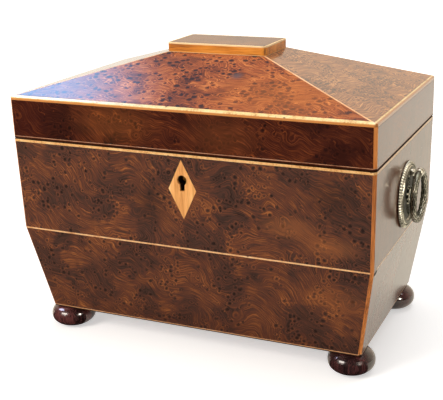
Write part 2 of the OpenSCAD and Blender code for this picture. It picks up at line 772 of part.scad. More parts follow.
// The plate's back is cut to the lean of the case
module handle_plate() color("olivedrab") difference() {
  union() {
    translate([half_w, 0, z_handle]) rotate([0, 90, 0]) rotate_extrude() polygon([
      [handle_bolt_r + fit_gap, -waist_inset], [plate_r, -waist_inset], [plate_r, 0.3 * bead_h],
      [bead_r + 0.55 * (plate_r - bead_r), 0.85 * bead_h],
      [bead_r + 0.12 * (plate_r - bead_r), 0.75 * bead_h],
      [bead_r, bead_h], [bead_r - 0.25 * (plate_r - bead_r), 0.86 * bead_h],
      [bead_r - 0.4 * (plate_r - bead_r), 0.5 * bead_h], [boss_r + side_gap, dish_t],
      [handle_bolt_r + fit_gap, dish_t]]);
    translate([ring_x, -eye_l / 2, ring_top]) rotate([-90, 0, 0]) cylinder(h = eye_l, r = eye_r);
    translate([half_w + dish_t, -eye_l / 2, ring_top - eye_r]) cube([ring_out - dish_t, eye_l, 2 * eye_r]);
  }
  along_y(whole(width_line, z_base, z_rim, 0));
  translate([ring_x, -eye_l, ring_top]) rotate([-90, 0, 0])
    cylinder(h = 2 * eye_l, r = ring_bar_r + fit_gap);
}

module handle_bolt() color("olivedrab") {
  translate([half_w, 0, z_handle]) rotate([0, 90, 0]) rotate_extrude() polygon([
    [0, dish_t], [boss_r, dish_t], [boss_r, 0.4 * boss_h], [0.8 * boss_r, 0.62 * boss_h],
    [0.62 * boss_r, 0.7 * boss_h], [0.5 * boss_r, 0.92 * boss_h], [0.2 * boss_r, boss_h], [0, boss_h]]);
  translate([well_x, 0, z_handle]) rotate([0, 90, 0])
    cylinder(h = half_w - well_x + dish_t + over, r = handle_bolt_r);
  translate([well_x, 0, z_handle]) rotate([0, 90, 0]) difference() {
    cylinder(h = nut_t, r = nut_r);
    translate([0, 0, -over]) cylinder(h = nut_t + 2 * over, r = handle_bolt_r + fit_gap);
  }
}

module handle_ring() color("olivedrab") union() {
  difference() {
    translate([ring_x, 0, z_handle]) rotate([0, 90, 0]) rotate_extrude()
      translate([ring_r, 0]) circle(r = ring_t, $fn = 24);
    box(ring_x, 0, 3 * ring_t, 2 * eye_room, z_handle, ring_top + 2 * ring_t);
  }
  translate([ring_x, -eye_room - ring_t / 2, ring_top]) rotate([-90, 0, 0])
    cylinder(h = 2 * eye_room + ring_t, r = ring_bar_r);
}

module handle_right_plate() handle_plate();

module handle_right_bolt() handle_bolt();

module handle_right_ring() handle_ring();

module handle_left_plate() mirror([1, 0, 0]) handle_plate();

module handle_left_bolt() mirror([1, 0, 0]) handle_bolt();

module handle_left_ring() mirror([1, 0, 0]) handle_ring();

// Pyramid between z0 and z1 whose planes lie drop below the outside of the roof
module roof_block(drop, z0, z1) intersection() {
  along_y([for (q = [[-1, z0], [-1, z1], [1, z1], [1, z0]])
    [q[0] * roof_half(half_w, cap_x, q[1], drop), q[1]]]);
  along_x([for (q = [[-1, z0], [-1, z1], [1, z1], [1, z0]])
    [q[0] * roof_half(half_d, cap_y, q[1], drop), q[1]]]);
}

// Layer of the roof between two depths, within inset of the lid's sides
module roof_layer(top, bottom, inset) intersection() {
  difference() {
    roof_block(top, z_lid, z_cap);
    roof_block(bottom, z_lid - over, min(z_cap + over, roof_peak(bottom) - glue_gap));
  }
  box(0, 0, 2 * (half_w - inset), 2 * (half_d - inset), z_lid, z_cap);
}

// Upright slabs of width w along the four hips and the ridge
module hips(w) union() {
  run = [half_w - ridge_x, half_d - ridge_y];
  for (sx = [0, 1], sy = [0, 1]) mirror([sx, 0, 0]) mirror([0, sy, 0])
    translate([half_w, half_d, z_lid]) rotate([0, 0, atan2(-run[1], -run[0])])
      translate([-over, -w / 2, 0]) cube([norm(run) + over + w / 2, w, z_top - z_lid]);
  box(0, 0, 2 * ridge_x + w, 2 * ridge_y + w, z_lid, z_top);
}

module roof_sector(k) {
  long = [[-half_w, -half_d], [half_w, -half_d], [ridge_x, -ridge_y], [-ridge_x, -ridge_y]];
  short = [[half_w, -half_d], [half_w, half_d], [ridge_x, ridge_y], [ridge_x, -ridge_y]];
  rotate([0, 0, k > 1 ? 180 : 0]) translate([0, 0, z_lid]) linear_extrude(z_top - z_lid)
    polygon(k % 2 == 0 ? long : short);
}

module lid_rebates() union() {
  frame(half_w + over, half_d + over, lid_low_edge_w + over, z_lid - over, z_lid + lid_low_edge_h);
  frame(half_w + over, half_d + over, lid_top_edge_w + over, z_arris - lid_top_edge_h, z_cap);
  lid_corners(over);
}

module lid_corners(extra) for (sx = [-1, 1], sy = [-1, 1])
  box(sx * (half_w + (extra - corner_w) / 2), sy * (half_d + (extra - corner_w) / 2),
    corner_w + extra, corner_w + extra, z_lid + lid_low_edge_h, z_arris - lid_top_edge_h);

module lid_rails() color("peru") difference() {
  intersection() {
    roof_block(veneer_t + roof_board_t, z_lid, z_arris);
    mitred_frame(half_w - veneer_t, half_d - veneer_t, lid_wall - veneer_t, z_lid, z_arris);
  }
  lid_rebates();
  knuckle_notches();
  leaf_recesses(z_lid);
  at_leaf_screws(z_lid) mirror([0, 0, 1]) screw_hole();
  box(0, lock_y, link_w, link_d, z_lid - over, z_lid + selvedge_t);
  at_link_screws() screw_hole();
}

module roof_boards() color("peru") difference() {
  roof_layer(veneer_t, veneer_t + roof_board_t, veneer_t);
  hips(glue_gap);
  lid_rebates();
}

module roof_veneer(k) intersection() {
  difference() {
    roof_layer(0, veneer_t, lid_top_edge_w);
    hips(hip_string_w);
  }
  roof_sector(k);
}

module roof_front_veneer() color("firebrick") roof_veneer(0);

module roof_right_veneer() color("rosybrown") roof_veneer(1);

module roof_back_veneer() color("firebrick") roof_veneer(2);

module roof_left_veneer() color("rosybrown") roof_veneer(3);

module hip_stringing() color("burlywood") intersection() {
  roof_layer(0, veneer_t, lid_top_edge_w);
  hips(hip_string_w);
}

module lid_band_veneer() color("brown") difference() {
  for (k = [0:3]) {
    a = k % 2 == 0 ? half_w : half_d;
    n = k % 2 == 0 ? half_d : half_w;
    rotate([0, 0, 90 * k]) box(0, veneer_t / 2 - n, 2 * (a - corner_w), veneer_t,
      z_lid + lid_low_edge_h, z_arris - lid_top_edge_h);
  }
  knuckle_notches();
}

module lid_top_edging() color("gold") intersection() {
  roof_block(0, z_arris - lid_top_edge_h, z_cap);
  within_cants(lid_cant_line, z_arris - lid_top_edge_h, z_cap);
  mitred_frame(half_w, half_d, lid_top_edge_w, z_arris - lid_top_edge_h, z_cap);
}

module lid_bottom_edging() color("burlywood") difference() {
  intersection() {
    mitred_frame(half_w, half_d, lid_low_edge_w, z_lid, z_lid + lid_low_edge_h);
    within_cants(lid_cant_line, z_lid, z_lid + lid_low_edge_h);
  }
  knuckle_notches();
  leaf_recesses(z_lid);
}

module lid_corner_edging() color("darkorange") intersection() {
  lid_corners(0);
  within_cants(lid_cant_line, z_lid + lid_low_edge_h, z_arris - lid_top_edge_h);
}

module rounded_slab(w, d, r, z0, z1) translate([0, 0, z0]) linear_extrude(z1 - z0) union() {
  square([w - 2 * r, d], center = true);
  square([w, d - 2 * r], center = true);
  for (sx = [-1, 1], sy = [-1, 1]) translate([sx * (w / 2 - r), sy * (d / 2 - r)]) circle(r = r);
}

module cap_block() color("peru")
  box(0, 0, cap_w - 2 * cap_edge_w, cap_d - 2 * cap_edge_w, z_cap, z_top - veneer_t);

module cap_edging() color("chocolate") intersection() {
  rounded_slab(cap_w, cap_d, cap_corner_r, z_cap, z_top);
  mitred_frame(cap_x, cap_y, cap_edge_w, z_cap, z_top);
}

module cap_veneer() color("rosybrown")
  box(0, 0, cap_w - 2 * cap_edge_w, cap_d - 2 * cap_edge_w, z_top - veneer_t, z_top);

module lid_lining() color("darkred") box(0, 0, 2 * (half_w - lid_wall), 2 * (half_d - lid_wall),
  z_arris - veneer_t - roof_board_t - lid_lining_t, z_arris - veneer_t - roof_board_t);

module lock_link_plate() color("darkkhaki") difference() {
  union() {
    box(0, lock_y, link_w, link_d, z_lid, z_lid + selvedge_t);
    for (s = [-1, 1]) box(s * staple_pitch / 2, lock_y, staple_t, staple_w,
      z_rim - staple_depth, z_lid + selvedge_t / 2);
  }
  box(0, lock_y, link_w, staple_hole_w, z_rim - staple_depth + staple_lip,
    z_rim - staple_depth + staple_lip + staple_hole_h);
  at_link_screws() screw_hole();
}

front_board();
back_board();
left_board();
right_board();
bottom_board();
front_upper_veneer();
front_lower_veneer();
back_veneer();
left_veneer();
right_veneer();
waist_stringing();
base_edging();
rim_edging();
corner_edging();
escutcheon();
foot_front_left();
foot_front_right();
foot_back_left();
foot_back_right();
lock_case();
lock_bolt();
hinge_case_leaves();
hinge_pins();
case_screws();
dividers();
well_lining();
bowl_panel();
mixing_bowl();
canister_left_box();
canister_left_foil();
canister_left_lid();
canister_left_knob();
canister_right_box();
canister_right_foil();
canister_right_lid();
canister_right_knob();
handle_left_plate();
handle_left_bolt();
handle_left_ring();
handle_right_plate();
handle_right_bolt();
handle_right_ring();
lid_rails();
roof_boards();
lid_band_veneer();
roof_front_veneer();
roof_back_veneer();
roof_left_veneer();
roof_right_veneer();
lid_top_edging();
lid_bottom_edging();
lid_corner_edging();
hip_stringing();
cap_block();
cap_edging();
cap_veneer();
lid_lining();
lock_link_plate();
hinge_lid_leaves();
lid_screws();
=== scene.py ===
from math import acos, cos, exp, floor, pi, radians, sin, sqrt

import bpy
from mathutils import Matrix, Vector


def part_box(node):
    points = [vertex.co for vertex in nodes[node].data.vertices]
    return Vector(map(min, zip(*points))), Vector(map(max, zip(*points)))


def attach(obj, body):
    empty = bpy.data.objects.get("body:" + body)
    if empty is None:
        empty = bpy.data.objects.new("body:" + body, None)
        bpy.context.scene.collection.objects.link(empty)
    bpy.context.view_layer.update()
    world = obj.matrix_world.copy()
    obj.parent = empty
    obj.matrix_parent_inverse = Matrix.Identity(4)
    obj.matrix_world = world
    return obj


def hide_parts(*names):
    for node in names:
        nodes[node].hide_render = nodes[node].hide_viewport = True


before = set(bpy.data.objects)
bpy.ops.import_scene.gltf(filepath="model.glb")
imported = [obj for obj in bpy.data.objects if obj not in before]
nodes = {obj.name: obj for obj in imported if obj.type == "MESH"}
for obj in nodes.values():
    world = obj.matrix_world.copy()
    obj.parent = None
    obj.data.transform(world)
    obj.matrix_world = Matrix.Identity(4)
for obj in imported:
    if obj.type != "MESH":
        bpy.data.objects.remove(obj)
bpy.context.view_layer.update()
scene = bpy.context.scene

# ---- Camera ----------------------------------------------------------------------------
# A short telephoto lens stands a little above the lid, off the front right corner. Its
# shift brings the box, which lies left of the lens's axis, to the middle of the picture.

stand = Vector((0.28979, -0.63113, 0.32893))
forward = Vector((-0.36298, 0.87640, -0.31649)).normalized()
level = forward.cross(Vector((0, 0, 1))).normalized()
roll = radians(-1.11)
right = level * cos(roll) + level.cross(forward) * sin(roll)
up = right.cross(forward)
lens = bpy.data.cameras.new("camera")
lens.lens = 74.994
lens.sensor_width = 36
lens.shift_x = -0.0993
lens.clip_start = 0.01
camera = bpy.data.objects.new("camera", lens)
aimed = Matrix((right, up, -forward)).transposed().to_4x4()
camera.matrix_world = Matrix.Translation(stand) @ aimed
scene.collection.objects.link(camera)
scene.camera = camera

# ---- Studio ----------------------------------------------------------------------------
# A white paper table runs back to a bright white sweep, in a room that is dim in front and
# overhead. Polish that looks at the sweep turns pale, and the front of the box stays dark.

scene.view_settings.view_transform = "Standard"
mm = 0.001


def rgb(code):
    """Linear colour of an sRGB hex value such as 8a5a3c"""
    parts = [int(code[i:i + 2], 16) / 255 for i in (0, 2, 4)]
    return [p / 12.92 if p <= 0.04045 else ((p + 0.055) / 1.055) ** 2.4 for p in parts] + [1]


def add(tree, kind, feeds=(), stops=(), **settings):
    """Adds a node with its settings. feeds gives inputs, by name or place, a value, a node
    or a socket, and stops gives a ramp its colours, both ends first. Of the places, Map
    Range has 1 and 2 as its old range and 3 and 4 as its new one, and Mix has 0 as its
    share, 2 and 3 as its numbers and 6 and 7 as its colours"""
    node = tree.nodes.new(kind)
    for key, value in settings.items():
        setattr(node, key, value)
    for key, value in dict(feeds).items():
        value = value.outputs[0] if isinstance(value, bpy.types.Node) else value
        if isinstance(value, bpy.types.NodeSocket):
            tree.links.new(value, node.inputs[key])
        else:
            node.inputs[key].default_value = value
    for i, (place, code) in enumerate(stops):
        bands = node.color_ramp.elements
        band = bands[i] if i < 2 else bands.new(place)
        band.position = place
        band.color = rgb(code) if isinstance(code, str) else (code, code, code, 1)
    return node


# The sweep is plain white to the eye and dimmer to matt surfaces. Polish and glass see it
# brightest low behind the box.
sweep = bpy.data.worlds.new("white_sweep")
scene.world = sweep
sweep.use_nodes = True
tree = sweep.node_tree
tree.nodes.clear()
ray = add(tree, "ShaderNodeLightPath")
where = add(tree, "ShaderNodeTexCoord")
axes = add(tree, "ShaderNodeSeparateXYZ", {0: where.outputs["Generated"]})
behind = add(tree, "ShaderNodeMapRange", {0: axes.outputs[1], 1: -0.1, 2: 0.62, 3: 0.04, 4: 0.85})
overhead = add(tree, "ShaderNodeMapRange", {0: axes.outputs[2], 1: 0.52, 2: 0.8, 3: 1.0, 4: 0.2})
glow = add(tree, "ShaderNodeMath", {0: behind, 1: overhead}, operation="MULTIPLY")
seen = add(tree, "ShaderNodeMath", {0: ray.outputs["Is Glossy Ray"],
                                    1: ray.outputs["Is Transmission Ray"]}, operation="MAXIMUM")
soft = add(tree, "ShaderNodeMix", {0: seen, 2: 0.42, 3: glow})
power = add(tree, "ShaderNodeMix", {0: ray.outputs["Is Camera Ray"], 2: soft, 3: 1.0})
tint = add(tree, "ShaderNodeMix", {0: ray.outputs["Is Camera Ray"], 6: rgb("ffecd4"),
                                   7: rgb("ffffff")}, data_type="RGBA")
sky = add(tree, "ShaderNodeBackground", {"Color": tint.outputs[2], "Strength": power})
add(tree, "ShaderNodeOutputWorld", {"Surface": sky})


def finish(name):
    """A new material with an empty node tree"""
    material = bpy.data.materials.new(name)
    material.use_nodes = True
    material.node_tree.nodes.clear()
    return material


def mesh_piece(name, points, faces, material, smooth=True):
    """A mesh piece from corner points in mm"""
    mesh = bpy.data.meshes.new(name)
    mesh.from_pydata([[c * mm for c in p] for p in points], [], faces)
    mesh.polygons.foreach_set("use_smooth", [smooth] * len(mesh.polygons))
    mesh.materials.append(material)
    mesh.update()
    piece = bpy.data.objects.new(name, mesh)
    scene.collection.objects.link(piece)
    return piece


# Matt white paper that keeps the shadow round the box and is pure white further out.
# Polish sees it dimmer.
paper = finish("matt_white_paper")
tree = paper.node_tree
ray = add(tree, "ShaderNodeLightPath")
place = add(tree, "ShaderNodeTexCoord")
away = add(tree, "ShaderNodeVectorMath", {0: place.outputs["Object"]}, operation="LENGTH")
far = add(tree, "ShaderNodeMapRange", {0: away.outputs["Value"], 1: 0.25, 2: 0.9},
          interpolation_type="SMOOTHSTEP")
bright = add(tree, "ShaderNodeMath", {0: far, 1: 0.5, 2: 0.52}, operation="MULTIPLY_ADD")
bright = add(tree, "ShaderNodeMath", {0: bright, 1: ray.outputs["Is Camera Ray"]},
             operation="MULTIPLY")
seen = add(tree, "ShaderNodeMath", {0: ray.outputs["Is Glossy Ray"],
                                    1: ray.outputs["Is Transmission Ray"]}, operation="MAXIMUM")
mirrored = add(tree, "ShaderNodeMapRange", {0: away.outputs["Value"], 1: 0.6, 2: 1.4, 3: 0.25,
                                            4: 0.48})
bright = add(tree, "ShaderNodeMath", {0: seen, 1: mirrored, 2: bright},
             operation="MULTIPLY_ADD")
cream = add(tree, "ShaderNodeMix", {0: ray.outputs["Is Glossy Ray"], 6: rgb("e2e6ec"),
                                    7: rgb("eeebda")}, data_type="RGBA")
lit = add(tree, "ShaderNodeBsdfDiffuse", {"Color": cream.outputs[2]})
white = add(tree, "ShaderNodeEmission", {"Color": rgb("ffffff"), "Strength": bright})
both = add(tree, "ShaderNodeAddShader", {0: lit, 1: white})
add(tree, "ShaderNodeOutputMaterial", {"Surface": both})
reach = 4000
table = mesh_piece("paper_table", [(-reach, -reach, 0), (reach, -reach, 0), (reach, reach, 0),
                                   (-reach, reach, 0)], [(0, 1, 2, 3)], paper, False)

# Matt black cloth just over the paper in front of the box. Polish alone sees it, so the
# front mirrors a dark floor.
cloth = finish("black_cloth")
add(cloth.node_tree, "ShaderNodeOutputMaterial", {
    "Surface": add(cloth.node_tree, "ShaderNodeBsdfDiffuse", {"Color": rgb("2a2622")})})
reach = 2500
hem_y = -64
lift = 0.6
flag = mesh_piece("black_flag", [(-reach, -reach, lift), (reach, -reach, lift),
                                 (reach, hem_y, lift), (-reach, hem_y, lift)],
                  [(0, 1, 2, 3)], cloth, False)
flag.visible_camera = flag.visible_diffuse = flag.visible_shadow = False
flag.visible_transmission = False

# Two softboxes light the box, and three small lamps show only in polish and glass. Each has
# its place and width in metres, its watts and its colour.
middle = Vector((0, 0, 0.12))
for name, place, width, watts, colour in (
        ("front_softbox", (-0.75, -1.15, 0.95), 0.7, 17.5, "fff4e8"),
        ("top_softbox", (0.15, 0.25, 1.35), 0.9, 9, "ffffff"),
        ("right_glint", (1.2, -0.7, 0.75), 0.3, 9, "fff4e4"),
        ("left_glint", (-0.85, -0.05, 0.85), 0.35, 5, "d8dcff"),
        ("window_glint", (-0.49, 0.145, 0.62), 0.44, 4.4, "86c4ff")):
    lamp = bpy.data.lights.new(name, "AREA")
    lamp.shape = "SQUARE"
    lamp.size = width
    lamp.energy = watts
    lamp.color = rgb(colour)[:3]
    holder = bpy.data.objects.new(name, lamp)
    holder.location = place
    holder.rotation_euler = (middle - Vector(place)).to_track_quat("-Z", "Y").to_euler()
    holder.visible_diffuse = "glint" not in name
    holder.visible_camera = "glint" not in name
    scene.collection.objects.link(holder)

# The last lamp is a small window, whose light fades out to its edges
lamp.use_nodes = True
tree = lamp.node_tree
tree.nodes.clear()
pane = add(tree, "ShaderNodeNewGeometry")
off = add(tree, "ShaderNodeVectorMath", {0: pane.outputs["Parametric"], 1: (0.5, 0.5, 0)},
          operation="SUBTRACT")
off = add(tree, "ShaderNodeVectorMath", {0: off, 1: (1, 1, 0)}, operation="MULTIPLY")
off = add(tree, "ShaderNodeVectorMath", {0: off}, operation="LENGTH")
fade = add(tree, "ShaderNodeMapRange", {0: off.outputs["Value"], 1: 0.5, 2: 0.1},
           interpolation_type="SMOOTHSTEP")
shining = add(tree, "ShaderNodeEmission", {"Strength": fade})
add(tree, "ShaderNodeOutputLight", {"Surface": shining})

# ---- Carcase and lid boards ------------------------------------------------------------
# Straight-grained mahogany boards, sawn and planed, glued under the veneers. They show
# only inside the lid and on the underside, with an oiled, satin surface.


def wood(name, light, mid, dark, axis, rough, coat=0.0, pore=0.9, clear=0.12):
    """Plain wood with fibres along one axis, under a coat of roughness clear. pore is the
    width of a fibre in mm, drawn coarser than the real 0.2 mm so that it shows"""
    made = finish(name)
    tree = made.node_tree
    spot = add(tree, "ShaderNodeTexCoord")
    layers = []
    for wide, long, figure in (
            (1, 22, {"Detail": 3.0, "Roughness": 0.6}),
            (14, 160, {"Detail": 2.0, "Distortion": 0.6})):
        size = [1000 / (wide * pore)] * 3
        size[axis] = 1000 / (long * pore)
        drawn = add(tree, "ShaderNodeVectorMath", {0: spot.outputs["Object"], 1: size},
                    operation="MULTIPLY")
        layers.append(add(tree, "ShaderNodeTexNoise", {"Vector": drawn, "Scale": 1.0} | figure))
    fine, broad = layers
    blend = add(tree, "ShaderNodeMix", {0: 0.5, 2: fine, 3: broad})
    colour = add(tree, "ShaderNodeValToRGB", {0: blend},
                 [(0.36, dark), (0.62, light), (0.49, mid)])
    shine = add(tree, "ShaderNodeMapRange", {0: fine, 3: rough - 0.06, 4: rough + 0.08})
    relief = add(tree, "ShaderNodeBump", {"Height": fine, "Strength": 0.25,
                                          "Distance": 0.1 * mm})
    face = add(tree, "ShaderNodeBsdfPrincipled", {
        "Base Color": colour, "Roughness": shine, "Normal": relief, "IOR": 1.5,
        "Coat Weight": coat, "Coat Roughness": clear, "Coat IOR": 1.5})
    add(tree, "ShaderNodeOutputMaterial", {"Surface": face})
    return made


def dress(material, *names, bevel=0.0, steps=2):
    """Gives CAD pieces their finish, and eases their edges by bevel mm"""
    for name in names:
        piece = nodes[name]
        piece.data.materials.clear()
        piece.data.materials.append(material)
        if bevel:
            weld = piece.modifiers.new("weld", "WELD")
            weld.merge_threshold = 1e-6
            ease = piece.modifiers.new("ease", "BEVEL")
            ease.width = bevel * mm
            ease.segments = steps
            ease.limit_method = "ANGLE"
            ease.angle_limit = radians(25)
            even = piece.modifiers.new("even", "WEIGHTED_NORMAL")
            even.mode = "FACE_AREA"
            even.weight = 100


mahogany_tones = ("a5673f", "8a4f2d", "633319")
mahogany = wood("oiled_mahogany", *mahogany_tones, 0, 0.42)
dress(mahogany, "back_board", "left_board", "right_board", "bottom_board",
      "lid_rails", "roof_boards", "cap_block")

# ---- Burr yew veneers ------------------------------------------------------------------
# Saw-cut burr yew, about 1 mm thick, French polished: a smooth clear coat over brown wood
# whose hair-fine fibres swirl round groups of pin knots about 1 mm wide, in grey clouds.


def spots(tree, leaf, across, push, keep, channel):
    """Round spots about across mm apart on centres that are pushed about. Gives how far the
    nearest one is in cells, whether it is kept, and its size"""
    loose = add(tree, "ShaderNodeTexNoise", {"Vector": leaf, "Scale": 1 / (2.2 * across),
                                             "Detail": 1.0}, noise_dimensions="2D")
    loose = add(tree, "ShaderNodeVectorMath", {0: loose.outputs["Color"], 1: (0.5, 0.5, 0)},
                operation="SUBTRACT")
    loose = add(tree, "ShaderNodeVectorMath", {0: loose, 1: (push, push, 0), 2: leaf},
                operation="MULTIPLY_ADD")
    cells = add(tree, "ShaderNodeTexVoronoi", {"Vector": loose, "Scale": 1 / across},
                voronoi_dimensions="2D")
    chance = add(tree, "ShaderNodeSeparateColor", {0: cells.outputs["Color"]})
    held = add(tree, "ShaderNodeMath", {0: chance.outputs[channel], 1: keep},
               operation="GREATER_THAN")
    return cells.outputs["Distance"], held, chance.outputs[2]


def blot(tree, distance, inner, outer, held):
    """The part of each kept spot that is whole within inner and gone at outer"""
    fade = add(tree, "ShaderNodeMapRange", {0: distance, 1: inner, 2: outer, 3: 1.0, 4: 0.0},
               interpolation_type="SMOOTHSTEP")
    return add(tree, "ShaderNodeMath", {0: fade, 1: held}, operation="MULTIPLY")


def burr(name, flat, seed, lean, stops, clouded=0.5, golden=0.5, pin=3.8, pin_r=0.16,
         kept=0.5, pit=0.18, crowd=0.0, oval=1.0, hair=1.0, mottle=1.0, glaze=1.0,
         under=0.15, swirling=1.0, knots=1.0, satin=0.07):
    """Polished burr. flat is the plane of the leaf, seed its place in the figure, lean the way
    its fibres run in degrees and stops its tones. clouded and golden widen its clouds and its
    gold. pin is the spacing of its knots in mm, pin_r their share of that spacing, kept the
    share left out, pit the dark of their cores, crowd how far they spread and oval how flat
    they lie. hair, mottle, swirling and knots strengthen fibres, patches, swirls and rings.
    glaze is the polish, satin its roughness and under the shine of the wood below it"""
    made = finish(name)
    tree = made.node_tree
    spot = add(tree, "ShaderNodeTexCoord")
    size = add(tree, "ShaderNodeVectorMath", {0: spot.outputs["Object"], 1: [1000] * 3},
               operation="MULTIPLY")
    axes = add(tree, "ShaderNodeSeparateXYZ", {0: size})
    u = axes.outputs[0]
    v = axes.outputs[1]
    if flat == "wall":
        u = add(tree, "ShaderNodeMath", {0: u, 1: v}, operation="ADD")
        v = axes.outputs[2]
    u = add(tree, "ShaderNodeMath", {0: u, 1: seed}, operation="ADD")
    v = add(tree, "ShaderNodeMath", {0: v, 1: oval, 2: 0.7 * seed}, operation="MULTIPLY_ADD")
    leaf = add(tree, "ShaderNodeCombineXYZ", {0: u, 1: v})

    # Soft fields by their width in mm, and the patches that the first three of them make:
    # grey clouds, groups of knots and gold
    drift, crew, warm, sway, bend, curl = (
        add(tree, "ShaderNodeTexNoise", {"Vector": leaf, "Scale": 1 / across, "Detail": detail,
                                         "Roughness": rough}, noise_dimensions="2D")
        for across, detail, rough in ((34, 3.0, 0.55), (26, 1.0, 0.5), (42, 1.0, 0.5),
                                      (48, 1.0, 0.5), (15, 1.0, 0.5), (4.2, 1.0, 0.5)))
    cloud, groups, gold = (
        add(tree, "ShaderNodeMapRange", {0: field, 1: low, 2: high},
            interpolation_type="SMOOTHSTEP")
        for field, low, high in ((drift, 0.56 - 0.16 * clouded, 0.64 - 0.12 * clouded),
                                 (crew, 0.5 - crowd, 0.6 - crowd),
                                 (warm, 0.58 - 0.1 * golden, 0.74 - 0.1 * golden)))
    in_cloud = add(tree, "ShaderNodeMath", {0: cloud, 1: 0.85}, operation="MULTIPLY")
    groups = add(tree, "ShaderNodeMath", {0: groups, 1: in_cloud}, operation="MAXIMUM")
    clear = add(tree, "ShaderNodeMath", {0: 1.0, 1: cloud}, operation="SUBTRACT")
    gold = add(tree, "ShaderNodeMath", {0: gold, 1: clear}, operation="MULTIPLY")

    # Pin knots, each a dark core in a pale ring and a dark halo, then larger eyes and specks
    pin_d, pin_held, pin_size = spots(tree, leaf, pin, 2.0, kept, 0)
    near = add(tree, "ShaderNodeMath", {0: groups, 1: pin_held}, operation="MULTIPLY")
    wide = add(tree, "ShaderNodeMath", {0: pin_size, 1: 0.8 * pin_r, 2: 0.55 * pin_r},
               operation="MULTIPLY_ADD")
    ratio = add(tree, "ShaderNodeMath", {0: pin_d, 1: wide}, operation="DIVIDE")
    deep = add(tree, "ShaderNodeMath", {0: pin_size, 1: 0.7, 2: 0.5}, operation="MULTIPLY_ADD")
    core = add(tree, "ShaderNodeMath", {0: blot(tree, ratio, 0.35, 1.4, near), 1: deep},
               operation="MULTIPLY")
    bands = []
    for start, crest, end in ((1.0, 1.7, 2.9), (2.0, 2.9, 4.2)):
        outside = add(tree, "ShaderNodeMapRange", {0: ratio, 1: start, 2: crest},
                      interpolation_type="SMOOTHSTEP")
        inside = blot(tree, ratio, crest, end, near)
        bands.append(add(tree, "ShaderNodeMath", {0: outside, 1: inside},
                         operation="MULTIPLY"))
    ring, halo = bands
    rise = blot(tree, pin_d, 0.0, 0.62, near)
    eye_d, eye_held, _ = spots(tree, leaf, 24, 8.0, 0.45, 1)
    eye = blot(tree, eye_d, 0.02, 0.34, eye_held)
    speck_d, speck_held, _ = spots(tree, leaf, 1.9, 0.8, 0.62, 0)
    speck = blot(tree, speck_d, 0.1, 0.26, speck_held)

    # Fibres run across the slope of a rolling surface that each knot pushes up. The hairs
    # are drawn 0.6 mm wide, coarser than real ones, so that they show
    turn = radians(lean)
    ways = []
    for by_u, by_v in ((cos(turn), sin(turn)), (-sin(turn), cos(turn))):
        way = add(tree, "ShaderNodeMath", {0: u, 1: by_u}, operation="MULTIPLY")
        ways.append(add(tree, "ShaderNodeMath", {0: v, 1: by_v, 2: way},
                        operation="MULTIPLY_ADD"))
    along, slope = ways
    for push, reach in ((sway, 40 * swirling), (bend, 4.4 * swirling), (curl, 0.8), (eye, 6.0),
                        (rise, 0.62 * pin)):
        slope = add(tree, "ShaderNodeMath", {0: push, 1: reach, 2: slope},
                    operation="MULTIPLY_ADD")
    lie = add(tree, "ShaderNodeCombineXYZ", {0: along, 1: slope})
    fibres = []
    for long, thick, rough in ((15, 0.62, 0.65), (30, 3.6, 0.6)):
        drawn = add(tree, "ShaderNodeVectorMath", {0: lie, 1: (1 / long, 1 / thick, 0)},
                    operation="MULTIPLY")
        fibres.append(add(tree, "ShaderNodeTexNoise", {
            "Vector": drawn, "Scale": 1.0, "Detail": 2.0, "Roughness": rough},
            noise_dimensions="2D"))
    hairs, locks = fibres

    # All of them move one tone that runs from grey-brown to gold
    tone = 0.5 - 0.35 * hair
    for layer, share in ((hairs, 0.7 * hair), (locks, 0.24 * mottle), (drift, -0.24 * mottle),
                         (cloud, -0.08 * mottle), (gold, 0.07 * mottle), (ring, 0.055 * knots),
                         (halo, -0.06 * knots), (eye, -0.04 * mottle), (speck, -0.05),
                         (core, -pit)):
        tone = add(tree, "ShaderNodeMath", {0: layer, 1: share, 2: tone},
                   operation="MULTIPLY_ADD")
    colour = add(tree, "ShaderNodeValToRGB", {0: tone}, stops)
    shine = add(tree, "ShaderNodeMapRange", {0: hairs, 3: 0.3, 4: 0.45})
    relief = add(tree, "ShaderNodeBump", {"Height": tone, "Strength": 0.12,
                                          "Distance": 0.1 * mm})
    ripple = add(tree, "ShaderNodeBump", {"Height": crew, "Strength": 0.1,
                                          "Distance": 0.4 * mm})
    face = add(tree, "ShaderNodeBsdfPrincipled", {
        "Base Color": colour, "Roughness": shine, "Normal": relief, "IOR": 1.5,
        "Specular IOR Level": under, "Coat Weight": glaze, "Coat Roughness": satin,
        "Coat IOR": 1.5, "Coat Normal": ripple})
    add(tree, "ShaderNodeOutputMaterial", {"Surface": face})
    return made


